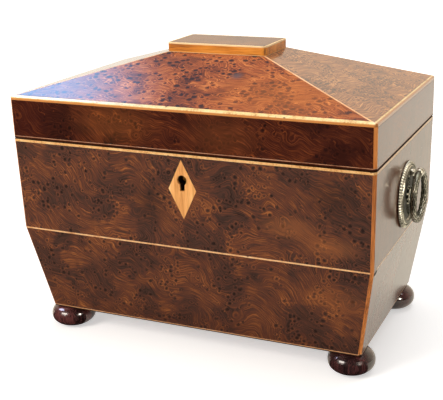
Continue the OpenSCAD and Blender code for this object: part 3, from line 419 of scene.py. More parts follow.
def stain_and_painted_light(material, place, reach, colour="120a06", amount=0.96, matt=False, inner=0.75):
    """Mixes a colour into a material round a place, for real stains and for painted light and
    shade alike. The mark is whole within inner, a share of reach, and gone at reach mm. A
    matt one dulls the polish too"""
    tree = material.node_tree
    face = next(n for n in tree.nodes if n.type == "BSDF_PRINCIPLED")
    clean = face.inputs["Base Color"].links[0].from_socket
    spot = add(tree, "ShaderNodeTexCoord")
    off = add(tree, "ShaderNodeVectorMath", {0: spot.outputs["Object"],
                                             1: [c * mm for c in place]},
              operation="SUBTRACT")
    off = add(tree, "ShaderNodeVectorMath", {0: off, 1: [1000 / r for r in reach]},
              operation="MULTIPLY")
    off = add(tree, "ShaderNodeVectorMath", {0: off}, operation="LENGTH")
    stain_and_light_share = add(tree, "ShaderNodeMapRange", {0: off.outputs["Value"], 1: inner, 2: 1.0,
                                            3: amount, 4: 0.0}, interpolation_type="SMOOTHSTEP")
    mixed = add(tree, "ShaderNodeMix", {0: stain_and_light_share, 6: clean, 7: rgb(colour)}, data_type="RGBA")
    tree.links.new(mixed.outputs[2], face.inputs["Base Color"])
    if matt:
        clear = add(tree, "ShaderNodeMath", {0: 1.0, 1: stain_and_light_share}, operation="SUBTRACT")
        for level in ("Coat Weight", "Specular IOR Level"):
            share = face.inputs[level].default_value
            share = add(tree, "ShaderNodeMath", {0: clear, 1: share}, operation="MULTIPLY")
            tree.links.new(share.outputs[0], face.inputs[level])


# The front and back have the most figure, in grey browns. The ends are plainer and redder,
# the lid's band is the darkest and the roof the palest. The cap shows mostly its polish.
front_burr = burr("burr_yew_front", "wall", 37, -28, [
    (0.2, "271a17"), (0.8, "b8743e"), (0.38, "47332c"), (0.5, "60392c"), (0.6, "7c492c")],
    clouded=0.6, pin=4.3, pin_r=0.24, kept=0.5, pit=0.24, crowd=0.06, mottle=0.75, knots=1.3)
side_burr = burr("burr_yew_side", "wall", 411, -80, [
    (0.2, "3a2014"), (0.8, "a46844"), (0.38, "5c3826"), (0.5, "6e442e"), (0.6, "805036")],
    clouded=0.2, golden=0.2, kept=0.8, hair=0.8, mottle=0.6, under=0.1, satin=0.15)
band_burr = burr("burr_yew_band", "wall", 163, -25, [
    (0.2, "140402"), (0.8, "9e521e"), (0.38, "300e06"), (0.5, "461a0a"), (0.6, "602b12")],
    clouded=0.4, golden=0.6, swirling=0.8, pin=4.2, pin_r=0.24, kept=0.45, pit=0.25, mottle=0.8,
    knots=1.2)
roof_burr = burr("burr_yew_roof", "roof", 733, -12, [
    (0.2, "2c1e2a"), (0.8, "eca05a"), (0.38, "68362a"), (0.5, "964e30"), (0.6, "be6e40")],
    clouded=0.3, pin=5.4, pin_r=0.3, kept=0.3, pit=0.34, crowd=0.12, oval=1.5, hair=1.3,
    mottle=0.75, knots=0.9)
end_burr = burr("burr_yew_roof_ends", "roof", 611, 75, [
    (0.2, "381608"), (0.8, "eaaa68"), (0.38, "703c18"), (0.5, "985a2c"), (0.6, "b67640")],
    clouded=0.2, golden=0.2, pin=2.6, pin_r=0.32, kept=0.3, pit=0.34, hair=1.4, mottle=0.6,
    swirling=0.5, under=0.3, knots=1.6)
cap_burr = burr("burr_yew_cap", "roof", 517, 0, [
    (0.2, "34190e"), (0.8, "c07c3c"), (0.38, "562c16"), (0.5, "6c3e22"), (0.6, "88542c")],
    clouded=0.2, golden=0.2, pin=4.6, pin_r=0.28, kept=0.6, pit=0.3, hair=0.9, mottle=0.8,
    under=0.0)

# The band is faded paler on the two ends of the lid
endless = 1e5
band_end = 141
for across in (-band_end, band_end):
    stain_and_painted_light(band_burr, (across, 0, 174), (2.2, endless, endless), "965e46", 0.45)

# Broad lighter and darker patches, a grey mark on the roof and two dents in the right end
for leaf, place, reach, colour, amount in (
        (front_burr, (80, -84, 113), (30, 40, 12), "a8683a", 0.32),
        (front_burr, (110, -84, 102), (28, 40, 11), "a8683a", 0.32),
        (front_burr, (112, -80, 62), (34, 40, 16), "9c5e34", 0.28),
        (front_burr, (112, -84, 136), (26, 40, 22), "2c211c", 0.45),
        (front_burr, (-27, -84, 120), (22, 40, 26), "2c211c", 0.35),
        (front_burr, (0, -66, 12), (200, 60, 40), "3c1c14", 0.25),
        (band_burr, (-52, -84, 176), (46, 40, 22), "8a5020", 0.28),
        (band_burr, (32, -84, 172), (40, 40, 24), "8a4a20", 0.28),
        (band_burr, (-132, -84, 174), (40, 40, 30), "360c08", 0.6),
        (band_burr, (120, -84, 174), (38, 40, 30), "38120a", 0.4),
        (roof_burr, (74, -64, 198), (80, 40, 40), "d07c34", 0.3),
        # Darker wood at the roof's left end, whose grey-blue tint is a painted reflection of the
        # window
        (roof_burr, (-115, -70, 196), (60, 40, 40), "4c3c48", 0.5),
        (roof_burr, (27, -45, 207), (7, 6, 5), "50505c", 0.7)):
    stain_and_painted_light(leaf, place, reach, colour, amount, inner=0.1)
stain_and_painted_light(side_burr, (140, 9, 150), (3, 1.3, 5.5), "2c1c12", matt=True)
stain_and_painted_light(side_burr, (139, -77, 86), (3, 5, 2.2), "20120c", matt=True)
dress(front_burr, "front_upper_veneer", "front_lower_veneer", "back_veneer", bevel=0.1)
dress(side_burr, "left_veneer", "right_veneer", bevel=0.1)
dress(band_burr, "lid_band_veneer", bevel=0.1)
dress(roof_burr, "roof_front_veneer", "roof_back_veneer", bevel=0.1)
dress(end_burr, "roof_left_veneer", "roof_right_veneer", bevel=0.1)
dress(cap_burr, "cap_veneer", bevel=0.1)

# ---- Boxwood stringing and edging ------------------------------------------------------
# Pale boxwood lines let into grooves and glued, then polished with the box. Boxwood is
# close-grained, straw to orange, and darkens where it has been knocked. Some of its shade
# and highlights are painted into its colour.


def stringing(name, light, mid, dark, glaze=0.6):
    """Boxwood lines under a coat of glaze: soft bands of tone, a grain drawn 1.1 mm wide so
    that it shows, and a small dark chip here and there"""
    made = finish(name)
    tree = made.node_tree
    spot = add(tree, "ShaderNodeTexCoord")
    drawn = add(tree, "ShaderNodeTexNoise", {"Vector": spot.outputs["Object"],
                                             "Scale": 1000 / 9, "Detail": 3.0})
    fine = add(tree, "ShaderNodeTexNoise", {"Vector": spot.outputs["Object"],
                                            "Scale": 1000 / 1.1, "Detail": 2.0})
    tone = add(tree, "ShaderNodeMix", {0: 0.4, 2: drawn, 3: fine})
    colour = add(tree, "ShaderNodeValToRGB", {0: tone},
                 [(0.32, dark), (0.6, light), (0.46, mid)])
    chips = add(tree, "ShaderNodeTexVoronoi", {"Vector": spot.outputs["Object"],
                                               "Scale": 1000 / 9})
    chip = add(tree, "ShaderNodeMapRange", {0: chips, 1: 0.07, 2: 0.13, 3: 0.75, 4: 0.0})
    colour = add(tree, "ShaderNodeMix", {0: chip, 6: colour.outputs[0], 7: rgb("5a2c12")},
                 data_type="RGBA")
    face = add(tree, "ShaderNodeBsdfPrincipled", {
        "Base Color": colour.outputs[2], "Roughness": 0.35, "IOR": 1.5,
        "Coat Weight": glaze, "Coat Roughness": 0.15, "Coat IOR": 1.5})
    add(tree, "ShaderNodeOutputMaterial", {"Surface": face})
    return made


# Each line has its own straw or orange. Painted shade darkens the underside of the base
# edging and the joint round the lid, and the lid's top edging has a painted highlight along
# its top and painted shade on its ends.
boxwood = stringing("polished_boxwood", "f4c892", "e8b27c", "c08450")
base_box = stringing("base_boxwood", "e6b280", "d69c68", "a87048")
# Painted shade: the lower part of the base edging is painted dark, as shade under the box
stain_and_painted_light(base_box, (0, 0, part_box("base_edging")[0].z / mm), (endless, endless, 1.1), "2a120a")
arris_box = stringing("arris_boxwood", "fbe2a6", "f2d08c", "c48a4a", 1.0)
arris_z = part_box("lid_top_edging")[0].z / mm
# Painted highlight: the edging is pale along its rounded top and orange only on its lower part
stain_and_painted_light(arris_box, (0, 0, arris_z), (endless, endless, 1.9), "d6893e")
arris_end = 140.4
# Painted shade: its runs along the lid's left and right ends are painted darker orange
for across in (-arris_end, arris_end):
    stain_and_painted_light(arris_box, (across, 0, 189), (1.9, endless, endless), "c07c3c")
rim_box = stringing("rim_boxwood", "f6cb8c", "ebb470", "c08244")
foot_box = stringing("lid_foot_boxwood", "cc9672", "bb8460", "8c5a3e")
joint_z = (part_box("rim_edging")[1].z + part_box("lid_bottom_edging")[0].z) / 2 / mm
# Painted shade: the rim and lid edging are painted near black and matt, as shade in the gap
for edging in (rim_box, foot_box):
    stain_and_painted_light(edging, (0, 0, joint_z + 0.45), (endless, endless, 1.2), "300a04", matt=True)
stain_and_painted_light(boxwood, (139, -79, 87), (3, 5, 3), "4a2612")
dress(boxwood, "waist_stringing", "hip_stringing", bevel=0.12)
dress(rim_box, "rim_edging", bevel=0.3)
dress(foot_box, "lid_bottom_edging", bevel=0.3)
dress(arris_box, "lid_top_edging", bevel=1.05, steps=5)
dress(base_box, "base_edging", bevel=0.2)

# ---- Satinwood corners and cap edging --------------------------------------------------
# Orange satinwood strips guard the upright corners of the case and lid, glossy and grained
# upright. Others frame the flat cap, rubbed nearly bare, with painted highlights along their
# edges and dark mitres.

upright_satinwood = wood("satinwood_uprights", "ffaa5a", "e88c3c", "a45a22", 2, 0.36, 0.7, 0.8)
cap_satinwood = wood("satinwood_cap", "fbaa3e", "e28a1c", "985210", 0, 0.45, 0.1, 0.8)
cap_low, cap_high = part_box("cap_edging")
# Painted highlight: pale bands along the top and bottom edges of the cap edging
for level, reach in ((cap_high.z / mm, 1.25), (cap_low.z / mm, 0.45)):
    stain_and_painted_light(cap_satinwood, (0, 0, level), (endless, endless, reach), "ffe0ac")
dress(upright_satinwood, "corner_edging", "lid_corner_edging", bevel=0.25, steps=3)
mitre_z = (cap_low.z + cap_high.z) / 2 / mm - 0.6
for across in (-cap_high.x / mm, cap_high.x / mm):
    for deep in (-cap_high.y / mm, cap_high.y / mm):
        stain_and_painted_light(cap_satinwood, (across, deep, mitre_z), (1.9, 1.9, 6), "4a260e", 0.75)
dress(cap_satinwood, "cap_edging", bevel=0.6, steps=3)

# ---- Escutcheon ------------------------------------------------------------------------
# A boxwood diamond let in flush round the keyhole, its grain upright. It is pale straw, and
# the bore of the hole through it and through the board behind is painted near black as shade.

keyhole = (0, -78, 135.6)
diamond_wood = wood("boxwood_diamond", "ffce8e", "fab86c", "d89450", 2, 0.36, 0.6, 0.7)
# Painted shade: the keyhole's bore through the diamond is painted near black
stain_and_painted_light(diamond_wood, keyhole, (7, 5.2, 9))
dress(diamond_wood, "escutcheon", bevel=0.12)
keyhole_shade_mahogany = wood("mahogany_keyhole_painted_shade", *mahogany_tones, 0, 0.42)
# Painted shade: the keyhole's bore through the board is painted near black
stain_and_painted_light(keyhole_shade_mahogany, keyhole, (14, 14, 16))
dress(keyhole_shade_mahogany, "front_board")

# ---- Bun feet --------------------------------------------------------------------------
# Rosewood buns turned on the lathe and polished nearly black, each with a dowel that is
# glued up into the bottom board.

rosewood = wood("turned_rosewood", "6a3a3a", "3c2224", "120a0c", 2, 0.22, 1.0, 0.8, 0.05)
dress(rosewood, "foot_front_left", "foot_front_right", "foot_back_left", "foot_back_right")

# ---- Lock, hinges and screws -----------------------------------------------------------
# Cast and filed brass: a cut lock with its bolt, the link plate in the lid, two stopped
# butt hinges and slotted screws. Handling has dulled the brass to a soft yellow.


def brass(name, bright, dull, rough):
    """Handled brass: bright where it is bare, dull and rougher in blots of grime, with its
    scuffs drawn 0.7 mm wide so that they show"""
    made = finish(name)
    tree = made.node_tree
    spot = add(tree, "ShaderNodeTexCoord")
    grime = add(tree, "ShaderNodeTexNoise", {"Vector": spot.outputs["Object"],
                                             "Scale": 1000 / 5, "Detail": 4.0})
    scuff = add(tree, "ShaderNodeTexNoise", {"Vector": spot.outputs["Object"],
                                             "Scale": 1000 / 0.7, "Detail": 2.0})
    colour = add(tree, "ShaderNodeValToRGB", {0: grime}, [(0.38, dull), (0.6, bright)])
    shine = add(tree, "ShaderNodeMapRange", {0: grime, 1: 0.3, 2: 0.7, 3: rough + 0.15,
                                             4: rough})
    relief = add(tree, "ShaderNodeBump", {"Height": scuff, "Strength": 0.2,
                                          "Distance": 0.1 * mm})
    face = add(tree, "ShaderNodeBsdfPrincipled", {
        "Base Color": colour, "Roughness": shine, "Metallic": 1.0, "Normal": relief})
    add(tree, "ShaderNodeOutputMaterial", {"Surface": face})
    return made


lock_brass = brass("filed_brass", "e2c078", "b08c4c", 0.34)
screw_brass = brass("screw_brass", "dcb468", "9c7638", 0.36)
dress(lock_brass, "lock_case", "lock_bolt", "lock_link_plate", "hinge_case_leaves",
      "hinge_lid_leaves", "hinge_pins", bevel=0.1)
dress(screw_brass, "case_screws", "lid_screws")

# ---- Inside of the case ----------------------------------------------------------------
# Thin rosewood boards line the well and part it in three, and the middle bay has a rosewood
# panel with a round hole for the mixing bowl. They are red brown under a thin soft polish.

inner_tones = ("7a3f2a", "55281b", "2e140f")
inner_rosewood = wood("inner_rosewood", *inner_tones, 0, 0.34, 0.5, 1.0)
inner_upright = wood("inner_rosewood_across", *inner_tones, 1, 0.34, 0.5, 1.0)
dress(inner_rosewood, "well_lining", bevel=0.3)
dress(inner_upright, "dividers", "bowl_panel", bevel=0.5)

# ---- Mixing bowl -----------------------------------------------------------------------
# Clear lead glass, blown, with cut flutes up its wall and a flat polished rim. Faint waves
# in the glass bend what is seen through it.

glass = finish("cut_glass")
tree = glass.node_tree
spot = add(tree, "ShaderNodeTexCoord")
waves = add(tree, "ShaderNodeTexNoise", {"Vector": spot.outputs["Object"],
                                         "Scale": 1000 / 12, "Detail": 1.0})
relief = add(tree, "ShaderNodeBump", {"Height": waves, "Strength": 0.08, "Distance": 0.5 * mm})
face = add(tree, "ShaderNodeBsdfPrincipled", {
    "Base Color": rgb("f2faf8"), "Roughness": 0.02, "IOR": 1.54, "Normal": relief,
    "Transmission Weight": 1.0})
add(tree, "ShaderNodeOutputMaterial", {"Surface": face})


def net(rows, cuts, start=0, joined=False, flip=False):
    """Faces over rows of cuts points each, from point start on. A joined net runs from its
    last row back to its first, any other is capped at both ends. flip turns them all over"""
    faces = []
    for i in range(rows if joined else rows - 1):
        j = (i + 1) % rows
        for k in range(cuts):
            n = (k + 1) % cuts
            faces.append((i * cuts + k, i * cuts + n, j * cuts + n, j * cuts + k))
    if not joined:
        faces.append(tuple(reversed(range(cuts))))
        faces.append(tuple(range((rows - 1) * cuts, rows * cuts)))
    return [tuple(start + c for c in (face[::-1] if flip else face)) for face in faces]


def turned(name, profile, steps, material, centre=(0, 0), shape=None):
    """A lathe piece about Z: profile lists (radius, height) in mm, from axis to axis"""
    points = []
    for r, z in profile:
        for k in range(steps):
            a = 2 * pi * k / steps
            q = shape(r, z, a) if shape else r
            points.append((centre[0] + q * cos(a), centre[1] + q * sin(a), z))
    return mesh_piece(name, points, net(len(profile), steps), material)


def spline(knots, cuts):
    """Points on a smooth line through the knots, cuts to each span"""
    line = []
    for i in range(len(knots) - 1):
        a, b, c, d = (knots[max(0, min(len(knots) - 1, j))] for j in range(i - 1, i + 3))
        for s in range(cuts):
            t = s / cuts
            line.append(tuple(0.5 * (2 * q + (r - p) * t + (2 * p - 5 * q + 4 * r - s3) * t * t
                                     + (3 * q - p - 3 * r + s3) * t ** 3)
                              for p, q, r, s3 in zip(a, b, c, d)))
    return line + [tuple(knots[-1])]


bowl_low, bowl_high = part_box("mixing_bowl")
bowl_z = bowl_low.z / mm
lip_z = bowl_high.z / mm
rim_r = bowl_high.x / mm
shelf_z = lip_z - 3.0
wall_r = 38.0
base_r = 17.0
glass_t = 2.5
bends = 24
outside = [(base_r + (wall_r - base_r) * sin(pi / 2 * k / bends),
            bowl_z + (shelf_z - bowl_z) * (1 - cos(pi / 2 * k / bends)))
           for k in range(bends + 1)]
inside = [(r - glass_t, z + glass_t * (1 - k / bends)) for k, (r, z) in enumerate(outside)]
bowl_line = ([(0.05, bowl_z + 0.4), (base_r - 2, bowl_z + 0.4), (base_r - 0.6, bowl_z)]
             + outside + [(rim_r - 0.5, shelf_z), (rim_r, shelf_z + 0.5), (rim_r, lip_z - 0.6),
                          (rim_r - 0.6, lip_z), (wall_r - glass_t + 0.5, lip_z),
                          (wall_r - glass_t, lip_z - 0.5)]
             + inside[::-1] + [(0.05, bowl_z + glass_t)])
flutes = 24
flute_t = 0.8


def fluted(r, z, a):
    """Cuts shallow flutes into the outside of the bowl between its foot and its rim"""
    if not (bowl_z + 2 < z < shelf_z - 8) or r < base_r + 0.5:
        return r
    share = (z - bowl_z) / (shelf_z - bowl_z)
    wall = base_r + (wall_r - base_r) * sqrt(max(0.0, 1 - (1 - share) ** 2))
    if r < wall - 1:
        return r
    return r - flute_t * abs(cos(flutes * a / 2)) ** 0.7 * min(1.0, (shelf_z - 8 - z) / 6)


bowl = turned("cut_glass_bowl", bowl_line, 192, glass, shape=fluted)
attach(bowl, "mixing_bowl")
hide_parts("mixing_bowl")

# ---- Tea canisters ---------------------------------------------------------------------
# Two lidded boxes veneered in burr yew like the case, lined with thin beaten tin foil, each
# with a turned bone knob. The foil is dented and dull grey, and the bone a warm white.

canister_stops = [(0.2, "21130f"), (0.8, "b0743f"), (0.38, "4a3024"), (0.5, "66402c"),
                  (0.6, "825234")]
canister_burr = burr("burr_yew_canister", "wall", 905, -40, canister_stops, glaze=0.8)
lid_leaf = burr("burr_yew_canister_lid", "roof", 219, 20, canister_stops, glaze=0.8)
foil = finish("beaten_tin_foil")
tree = foil.node_tree
spot = add(tree, "ShaderNodeTexCoord")
dents = add(tree, "ShaderNodeTexVoronoi", {"Vector": spot.outputs["Object"],
                                           "Scale": 1000 / 5}, feature="SMOOTH_F1")
tarnish = add(tree, "ShaderNodeTexNoise", {"Vector": spot.outputs["Object"],
                                           "Scale": 1000 / 14, "Detail": 4.0})
colour = add(tree, "ShaderNodeValToRGB", {0: tarnish}, [(0.35, "85847e"), (0.62, "bcbcb8")])
relief = add(tree, "ShaderNodeBump", {"Height": dents, "Strength": 0.6, "Distance": 0.6 * mm})
face = add(tree, "ShaderNodeBsdfPrincipled", {"Base Color": colour, "Metallic": 1.0,
                                              "Roughness": 0.42, "Normal": relief})
add(tree, "ShaderNodeOutputMaterial", {"Surface": face})

# Bone is flecked by pores that run up the knob, 2.2 to a mm across, and lets some light in
bone = finish("turned_bone")
tree = bone.node_tree
spot = add(tree, "ShaderNodeTexCoord")
pores = add(tree, "ShaderNodeVectorMath", {0: spot.outputs["Object"], 1: (2.2 / mm, 2.2 / mm,
                                                                   0.24 / mm)},
            operation="MULTIPLY")
speck = add(tree, "ShaderNodeTexNoise", {"Vector": pores, "Scale": 1.0, "Detail": 3.0})
colour = add(tree, "ShaderNodeValToRGB", {0: speck}, [(0.32, "c2ab80"), (0.5, "ece0c4")])
face = add(tree, "ShaderNodeBsdfPrincipled", {
    "Base Color": colour, "Roughness": 0.3, "IOR": 1.54, "Subsurface Weight": 0.1,
    "Subsurface Radius": (2 * mm, 1.5 * mm, 1 * mm)})
add(tree, "ShaderNodeOutputMaterial", {"Surface": face})

dress(canister_burr, "canister_left_box", "canister_right_box", bevel=0.6, steps=3)
dress(lid_leaf, "canister_left_lid", "canister_right_lid", bevel=0.8, steps=3)
dress(foil, "canister_left_foil", "canister_right_foil")
for hand in ("left", "right"):
    node = f"canister_{hand}_knob"
    low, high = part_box(node)
    across = (low.x + high.x) / 2 / mm
    z0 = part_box(f"canister_{hand}_lid")[1].z / mm
    h = high.z / mm - z0
    r = 5.2
    line = spline([(0.05, z0), (0.74 * r, z0), (0.78 * r, z0 + 0.05 * h),
                   (0.7 * r, z0 + 0.13 * h), (0.44 * r, z0 + 0.22 * h),
                   (0.4 * r, z0 + 0.34 * h), (0.56 * r, z0 + 0.41 * h),
                   (0.52 * r, z0 + 0.46 * h), (0.84 * r, z0 + 0.54 * h),
                   (0.985 * r, z0 + 0.68 * h), (0.9 * r, z0 + 0.83 * h),
                   (0.55 * r, z0 + 0.95 * h), (0.2 * r, z0 + 0.99 * h), (0.05, z0 + h)], 5)
    knob = turned(f"bone_knob_{hand}", line, 48, bone, (across, 0))
    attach(knob, f"canister_{hand}_lid")
    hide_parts(node)

# ---- Handles ---------------------------------------------------------------------------
# Each side has a stamped brass backplate with a gadrooned rim, a plain bead and a sunk
# field, held by one bolt with a flower head. A cast ring chased with laurel hangs from
# its lug. The brass has aged to olive brown and stays pale in the hollows of its chasing.

wall_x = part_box("right_veneer")[1].x / mm
plate_low, plate_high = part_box("handle_right_plate")
ring_low, ring_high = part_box("handle_right_ring")
plate_r = plate_high.y / mm
centre_z = plate_low.z / mm + plate_r
bead_r = 20.3
bead_h = 3.2
dish_t = 1.2


def aged(name, stamped=False, rubbed=False):
    """Old brass, pale in its hollows and brown on its edges, or the other way about where it
    is rubbed. Stamped brass also has painted light in rings about its bolt: painted shade in
    the dish and in the groove inside the rim, and painted highlight on the bead and the rim"""
    made = finish(name)
    tree = made.node_tree
    spot = add(tree, "ShaderNodeTexCoord")
    form = add(tree, "ShaderNodeNewGeometry")
    grime = add(tree, "ShaderNodeTexNoise", {"Vector": spot.outputs["Object"],
                                             "Scale": 1000 / 4, "Detail": 5.0,
                                             "Roughness": 0.6})
    dark, pale = (0.44, 0.56) if rubbed else (0.56, 0.44)
    wear_and_light = add(tree, "ShaderNodeMapRange", {0: form.outputs["Pointiness"], 1: dark, 2: pale})
    wear_and_light = add(tree, "ShaderNodeMath", {0: wear_and_light, 1: 0.75}, operation="MULTIPLY")
    wear_and_light = add(tree, "ShaderNodeMath", {0: grime, 1: 0.5, 2: wear_and_light}, operation="MULTIPLY_ADD")
    # Painted light: rings about the bolt give painted shade in the dish and painted highlight on
    # the bead and rim
    if stamped:
        off = add(tree, "ShaderNodeVectorMath", {0: spot.outputs["Object"],
                                                 1: (0, 0, centre_z * mm)},
                  operation="SUBTRACT")
        whole = 1 / (25 * mm)
        off = add(tree, "ShaderNodeVectorMath", {0: off, 1: (0, whole, whole)},
                  operation="MULTIPLY")
        off = add(tree, "ShaderNodeVectorMath", {0: off}, operation="LENGTH")
        painted_light_rings = add(tree, "ShaderNodeValToRGB", {0: off.outputs["Value"]}, [
            (0.0, 0.55), (1.0, 0.85), (0.26, 0.5), (0.3, 0.12), (0.66, 0.12),
            (0.7, 0.0), (0.75, 0.5), (0.85, 0.62), (0.875, 0.3), (0.9, 0.85)])
        wear_and_light = add(tree, "ShaderNodeMath", {0: painted_light_rings, 1: 0.8, 2: wear_and_light},
                   operation="MULTIPLY_ADD")
        wear_and_light = add(tree, "ShaderNodeMath", {0: wear_and_light, 1: 0.36}, operation="SUBTRACT")
    colour = add(tree, "ShaderNodeValToRGB", {0: wear_and_light},
                 [(0.32, "171816"), (0.82, "fbf6e6"), (0.6, "8a8878")])
    shine = add(tree, "ShaderNodeMapRange", {0: wear_and_light, 1: 0.3, 2: 0.9, 3: 0.5, 4: 0.3})
    relief = add(tree, "ShaderNodeBump", {"Height": grime, "Strength": 0.25,
                                          "Distance": 0.3 * mm})
    face = add(tree, "ShaderNodeBsdfPrincipled", {"Base Color": colour, "Metallic": 1.0,
                                                  "Roughness": shine, "Normal": relief})
    add(tree, "ShaderNodeOutputMaterial", {"Surface": face})
    return made


stamped_brass = aged("stamped_brass", stamped=True)
cast_brass = aged("cast_brass")
rubbed_brass = aged("rubbed_brass", rubbed=True)
ring_x = (ring_low.x + ring_high.x) / 2 / mm
ring_t = (ring_high.x - ring_low.x) / 2 / mm
ring_r = (ring_high.y - ring_low.y) / 2 / mm - ring_t
lug_z = centre_z + ring_r
gadroons = 72


def around(side, r, a, h):
    """A point of the handle: r and a about the bolt, h out from the side"""
    return (side * (wall_x + h), r * sin(a), centre_z + r * cos(a))


def leaf_relief(y, z):
    """Height of the chased spray above and below the bolt head"""
    foot = 5
    tip = 15.5
    s = abs(z)
    if s < foot or s > tip or abs(y) > 6:
        return 0
    t = (s - foot) / (tip - foot)
    half = 3.6 * sin(pi * min(1.0, t * 1.05)) ** 0.8 + 0.2
    if abs(y) > half:
        return 0
    vein = 0.5 + 0.5 * cos(2 * pi * (s - 1.1 * abs(y)) / 2.3)
    body = (1 - (abs(y) / half) ** 2) ** 0.5
    return 0.9 * body * (0.65 + 0.35 * vein) + 0.35 * exp(-(y / 0.45) ** 2)


def plate(side, hand):
    """Backplate as one closed skin: a gadrooned rim, a bead and a field with a chased spray"""
    rim = [(0.3, -0.2), (plate_r - 0.5, -0.2), (plate_r - 0.1, 0.25)]
    ribs = [(plate_r, 0.7), (plate_r - 0.25, 1.4), (plate_r - 0.7, 2.0), (plate_r - 1.3, 2.45),
            (plate_r - 1.9, 2.65), (plate_r - 2.5, 2.6), (plate_r - 3.0, 2.3),
            (plate_r - 3.35, 1.9)]
    bead = [(bead_r + 0.95, 2.0), (bead_r + 0.7, 2.7), (bead_r + 0.2, 3.1),
            (bead_r - 0.35, bead_h), (bead_r - 0.95, 3.05), (bead_r - 1.4, 2.6),
            (bead_r - 1.7, 2.0), (bead_r - 2.1, 1.6), (bead_r - 2.6, 1.4)]
    field = [(17.5 - 0.45 * k, dish_t + 0.12 * max(0, 1 - k)) for k in range(34)]
    field = [(r, h) for r, h in field if r > 2.6] + [(2.5, dish_t)]
    line = rim + ribs + bead + field
    steps = gadroons * 8
    points = []
    for r, h in line:
        for k in range(steps):
            a = 2 * pi * k / steps
            q = r
            lift = h
            if (r, h) in ribs:
                swell = abs(cos(gadroons * a / 2)) ** 0.8
                depth = 0.75 * sin(pi * (ribs.index((r, h)) + 1) / (len(ribs) + 1)) ** 0.5
                lift = h - depth * (1 - swell)
                q = r - 0.4 * (1 - swell) * (ribs.index((r, h)) < 3)
            if (r, h) in field:
                lift = h + leaf_relief(q * sin(a), q * cos(a))
            points.append(around(side, q, a, lift))
    faces = net(len(line), steps, joined=True, flip=side > 0)
    return mesh_piece(f"handle_{hand}_backplate", points, faces, stamped_brass)


def lug(side, hand):
    """Lug: a rounded barrel that the ring's ends turn in and rub, on a neck from the dish"""
    half = 3.3
    r = 2.99
    hole = 1.7
    line = [(hole, -half), (r - 1.0, -half), (r - 0.3, -half + 0.35), (r, -half + 1.1),
            (r - 0.05, -1.2), (r - 0.35, -0.7), (r - 0.35, 0.7), (r - 0.05, 1.2),
            (r, half - 1.1), (r - 0.3, half - 0.35), (r - 1.0, half), (hole, half)]
    steps = 40
    points = []
    for q, y in line:
        for k in range(steps):
            a = 2 * pi * k / steps
            points.append((side * (ring_x + q * cos(a)), y, lug_z + q * sin(a)))
    faces = net(len(line), steps, joined=True, flip=side > 0)
    necks = [(dish_t, 2.9, 4.4), (dish_t + 0.9, 2.6, 3.2), (2.9, 2.3, 2.6), (3.9, 2.3, 2.4),
             (5.4, 2.4, 2.3)]
    steps = 24
    faces += net(len(necks), steps, len(points), flip=side < 0)
    for h, wide, tall in necks:
        for k in range(steps):
            a = 2 * pi * k / steps
            y = wide * abs(cos(a)) ** 0.6 * (1 if cos(a) > 0 else -1)
            z = tall * abs(sin(a)) ** 0.6 * (1 if sin(a) > 0 else -1)
            points.append((side * (wall_x + h), y, lug_z + z - 0.3))
    return mesh_piece(f"handle_{hand}_lug", points, faces, rubbed_brass)


def flower(side, hand):
    """Bolt head: eight petals round a button"""
    petals = 8
    line = [(0.05, 1.3), (6.0, 1.3), (6.3, 1.6), (6.2, 2.2), (5.7, 2.7), (5.0, 2.95),
            (4.3, 2.9), (3.7, 2.7), (3.45, 3.3), (3.3, 4.0), (2.9, 4.8), (2.2, 5.5),
            (1.3, 5.95), (0.6, 6.12), (0.05, 6.17)]
    steps = petals * 12
    points = []
    for r, h in line:
        for k in range(steps):
            a = 2 * pi * k / steps
            lobe = abs(cos(petals * a / 2))
            q = r - (0.9 * (1 - lobe ** 0.6) if r > 3.6 and h > 1.5 else 0)
            lift = h - (0.5 * (1 - lobe) if 3.6 < r < 6.25 and h > 2 else 0)
            points.append(around(side, q, a, lift))
    faces = net(len(line), steps, flip=side > 0)
    return mesh_piece(f"handle_{hand}_flower", points, faces, stamped_brass)


def laurel(s, a):
    """How far the chased leaves are cut back, at s mm from the ring's foot"""
    length = 5.2
    rows = 5
    lane = a / (2 * pi) * rows + 0.5
    row = floor(lane)
    off = lane - row - 0.5
    t = s / length + 0.5 * (row % 2)
    t -= floor(t)
    reach = 0.5 * (1 - t ** 2.2) + 0.04
    inside_leaf = abs(off) < reach
    rise = 0.25 + 0.75 * t
    vein = 0.3 * exp(-(off / 0.07) ** 2)
    return 0.62 - 0.62 * rise + vein if inside_leaf else 0.62


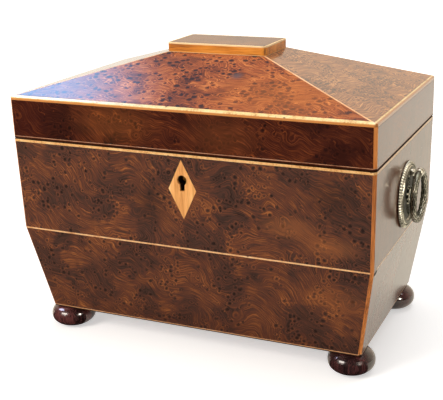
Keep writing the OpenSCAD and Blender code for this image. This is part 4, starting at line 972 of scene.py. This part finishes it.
def hoop(side, hand):
    """Ring chased with laurel leaves that run up both sides from a band at its foot. A bar
    through the lug joins its two ends"""
    steps = 300
    cuts = 40
    gap = acos(1 - 0.5 * (3.9 / ring_r) ** 2)
    points = []
    for i in range(steps + 1):
        a = gap + (2 * pi - 2 * gap) * i / steps
        s = abs(a - pi) * ring_r
        end = min(a - gap, 2 * pi - gap - a) * ring_r
        for k in range(cuts):
            b = 2 * pi * k / cuts
            if s < 2.4:
                trim = 0.12 + 0.25 * (abs((s % 1.2) - 0.6) < 0.14)
            elif end < 7:
                trim = 0.35 * (1 - cos(min(1.0, end / 7) * pi)) / 2 + 0.1 * (end < 0.6)
            else:
                trim = laurel(s - 2.4, b)
            q = ring_t - trim
            x = ring_x + q * cos(b)
            r = ring_r + q * sin(b)
            points.append((side * x, r * sin(a), centre_z + r * cos(a)))
    faces = net(steps + 1, cuts, flip=side > 0)
    cuts = 20
    bar_r = 1.4
    bar_half = 4.4
    faces += net(2, cuts, len(points), flip=side > 0)
    for y in (-bar_half, bar_half):
        for k in range(cuts):
            b = 2 * pi * k / cuts
            points.append((side * (ring_x + bar_r * cos(b)), y, lug_z + bar_r * sin(b)))
    return mesh_piece(f"handle_{hand}_hoop", points, faces, cast_brass)


for side, hand in ((-1, "left"), (1, "right")):
    for piece, body, node in ((plate(side, hand), "case", f"handle_{hand}_plate"),
                              (lug(side, hand), "case", f"handle_{hand}_plate"),
                              (flower(side, hand), "case", f"handle_{hand}_bolt"),
                              (hoop(side, hand), f"handle_{hand}_ring",
                               f"handle_{hand}_ring")):
        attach(piece, body)
        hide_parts(node)

# ---- Lid lining ------------------------------------------------------------------------
# A board under the roof covered in crimson silk velvet, glued at its edges. Its pile, drawn
# 0.6 mm thick so that it shows, is dark where crushed and pale red at a low angle.

velvet = finish("crimson_velvet")
tree = velvet.node_tree
spot = add(tree, "ShaderNodeTexCoord")
pile = add(tree, "ShaderNodeTexNoise", {"Vector": spot.outputs["Object"],
                                        "Scale": 1000 / 0.6, "Detail": 2.0})
crush = add(tree, "ShaderNodeTexNoise", {"Vector": spot.outputs["Object"],
                                         "Scale": 1000 / 22, "Detail": 2.0})
colour = add(tree, "ShaderNodeValToRGB", {0: crush}, [(0.3, "681820"), (0.7, "88242e")])
relief = add(tree, "ShaderNodeBump", {"Height": pile, "Strength": 0.7, "Distance": 0.3 * mm})
face = add(tree, "ShaderNodeBsdfPrincipled", {
    "Base Color": colour, "Roughness": 0.9, "IOR": 1.45, "Normal": relief,
    "Sheen Weight": 0.8, "Sheen Roughness": 0.4, "Sheen Tint": rgb("e08088")})
add(tree, "ShaderNodeOutputMaterial", {"Surface": face})
dress(velvet, "lid_lining", bevel=1.0, steps=3)
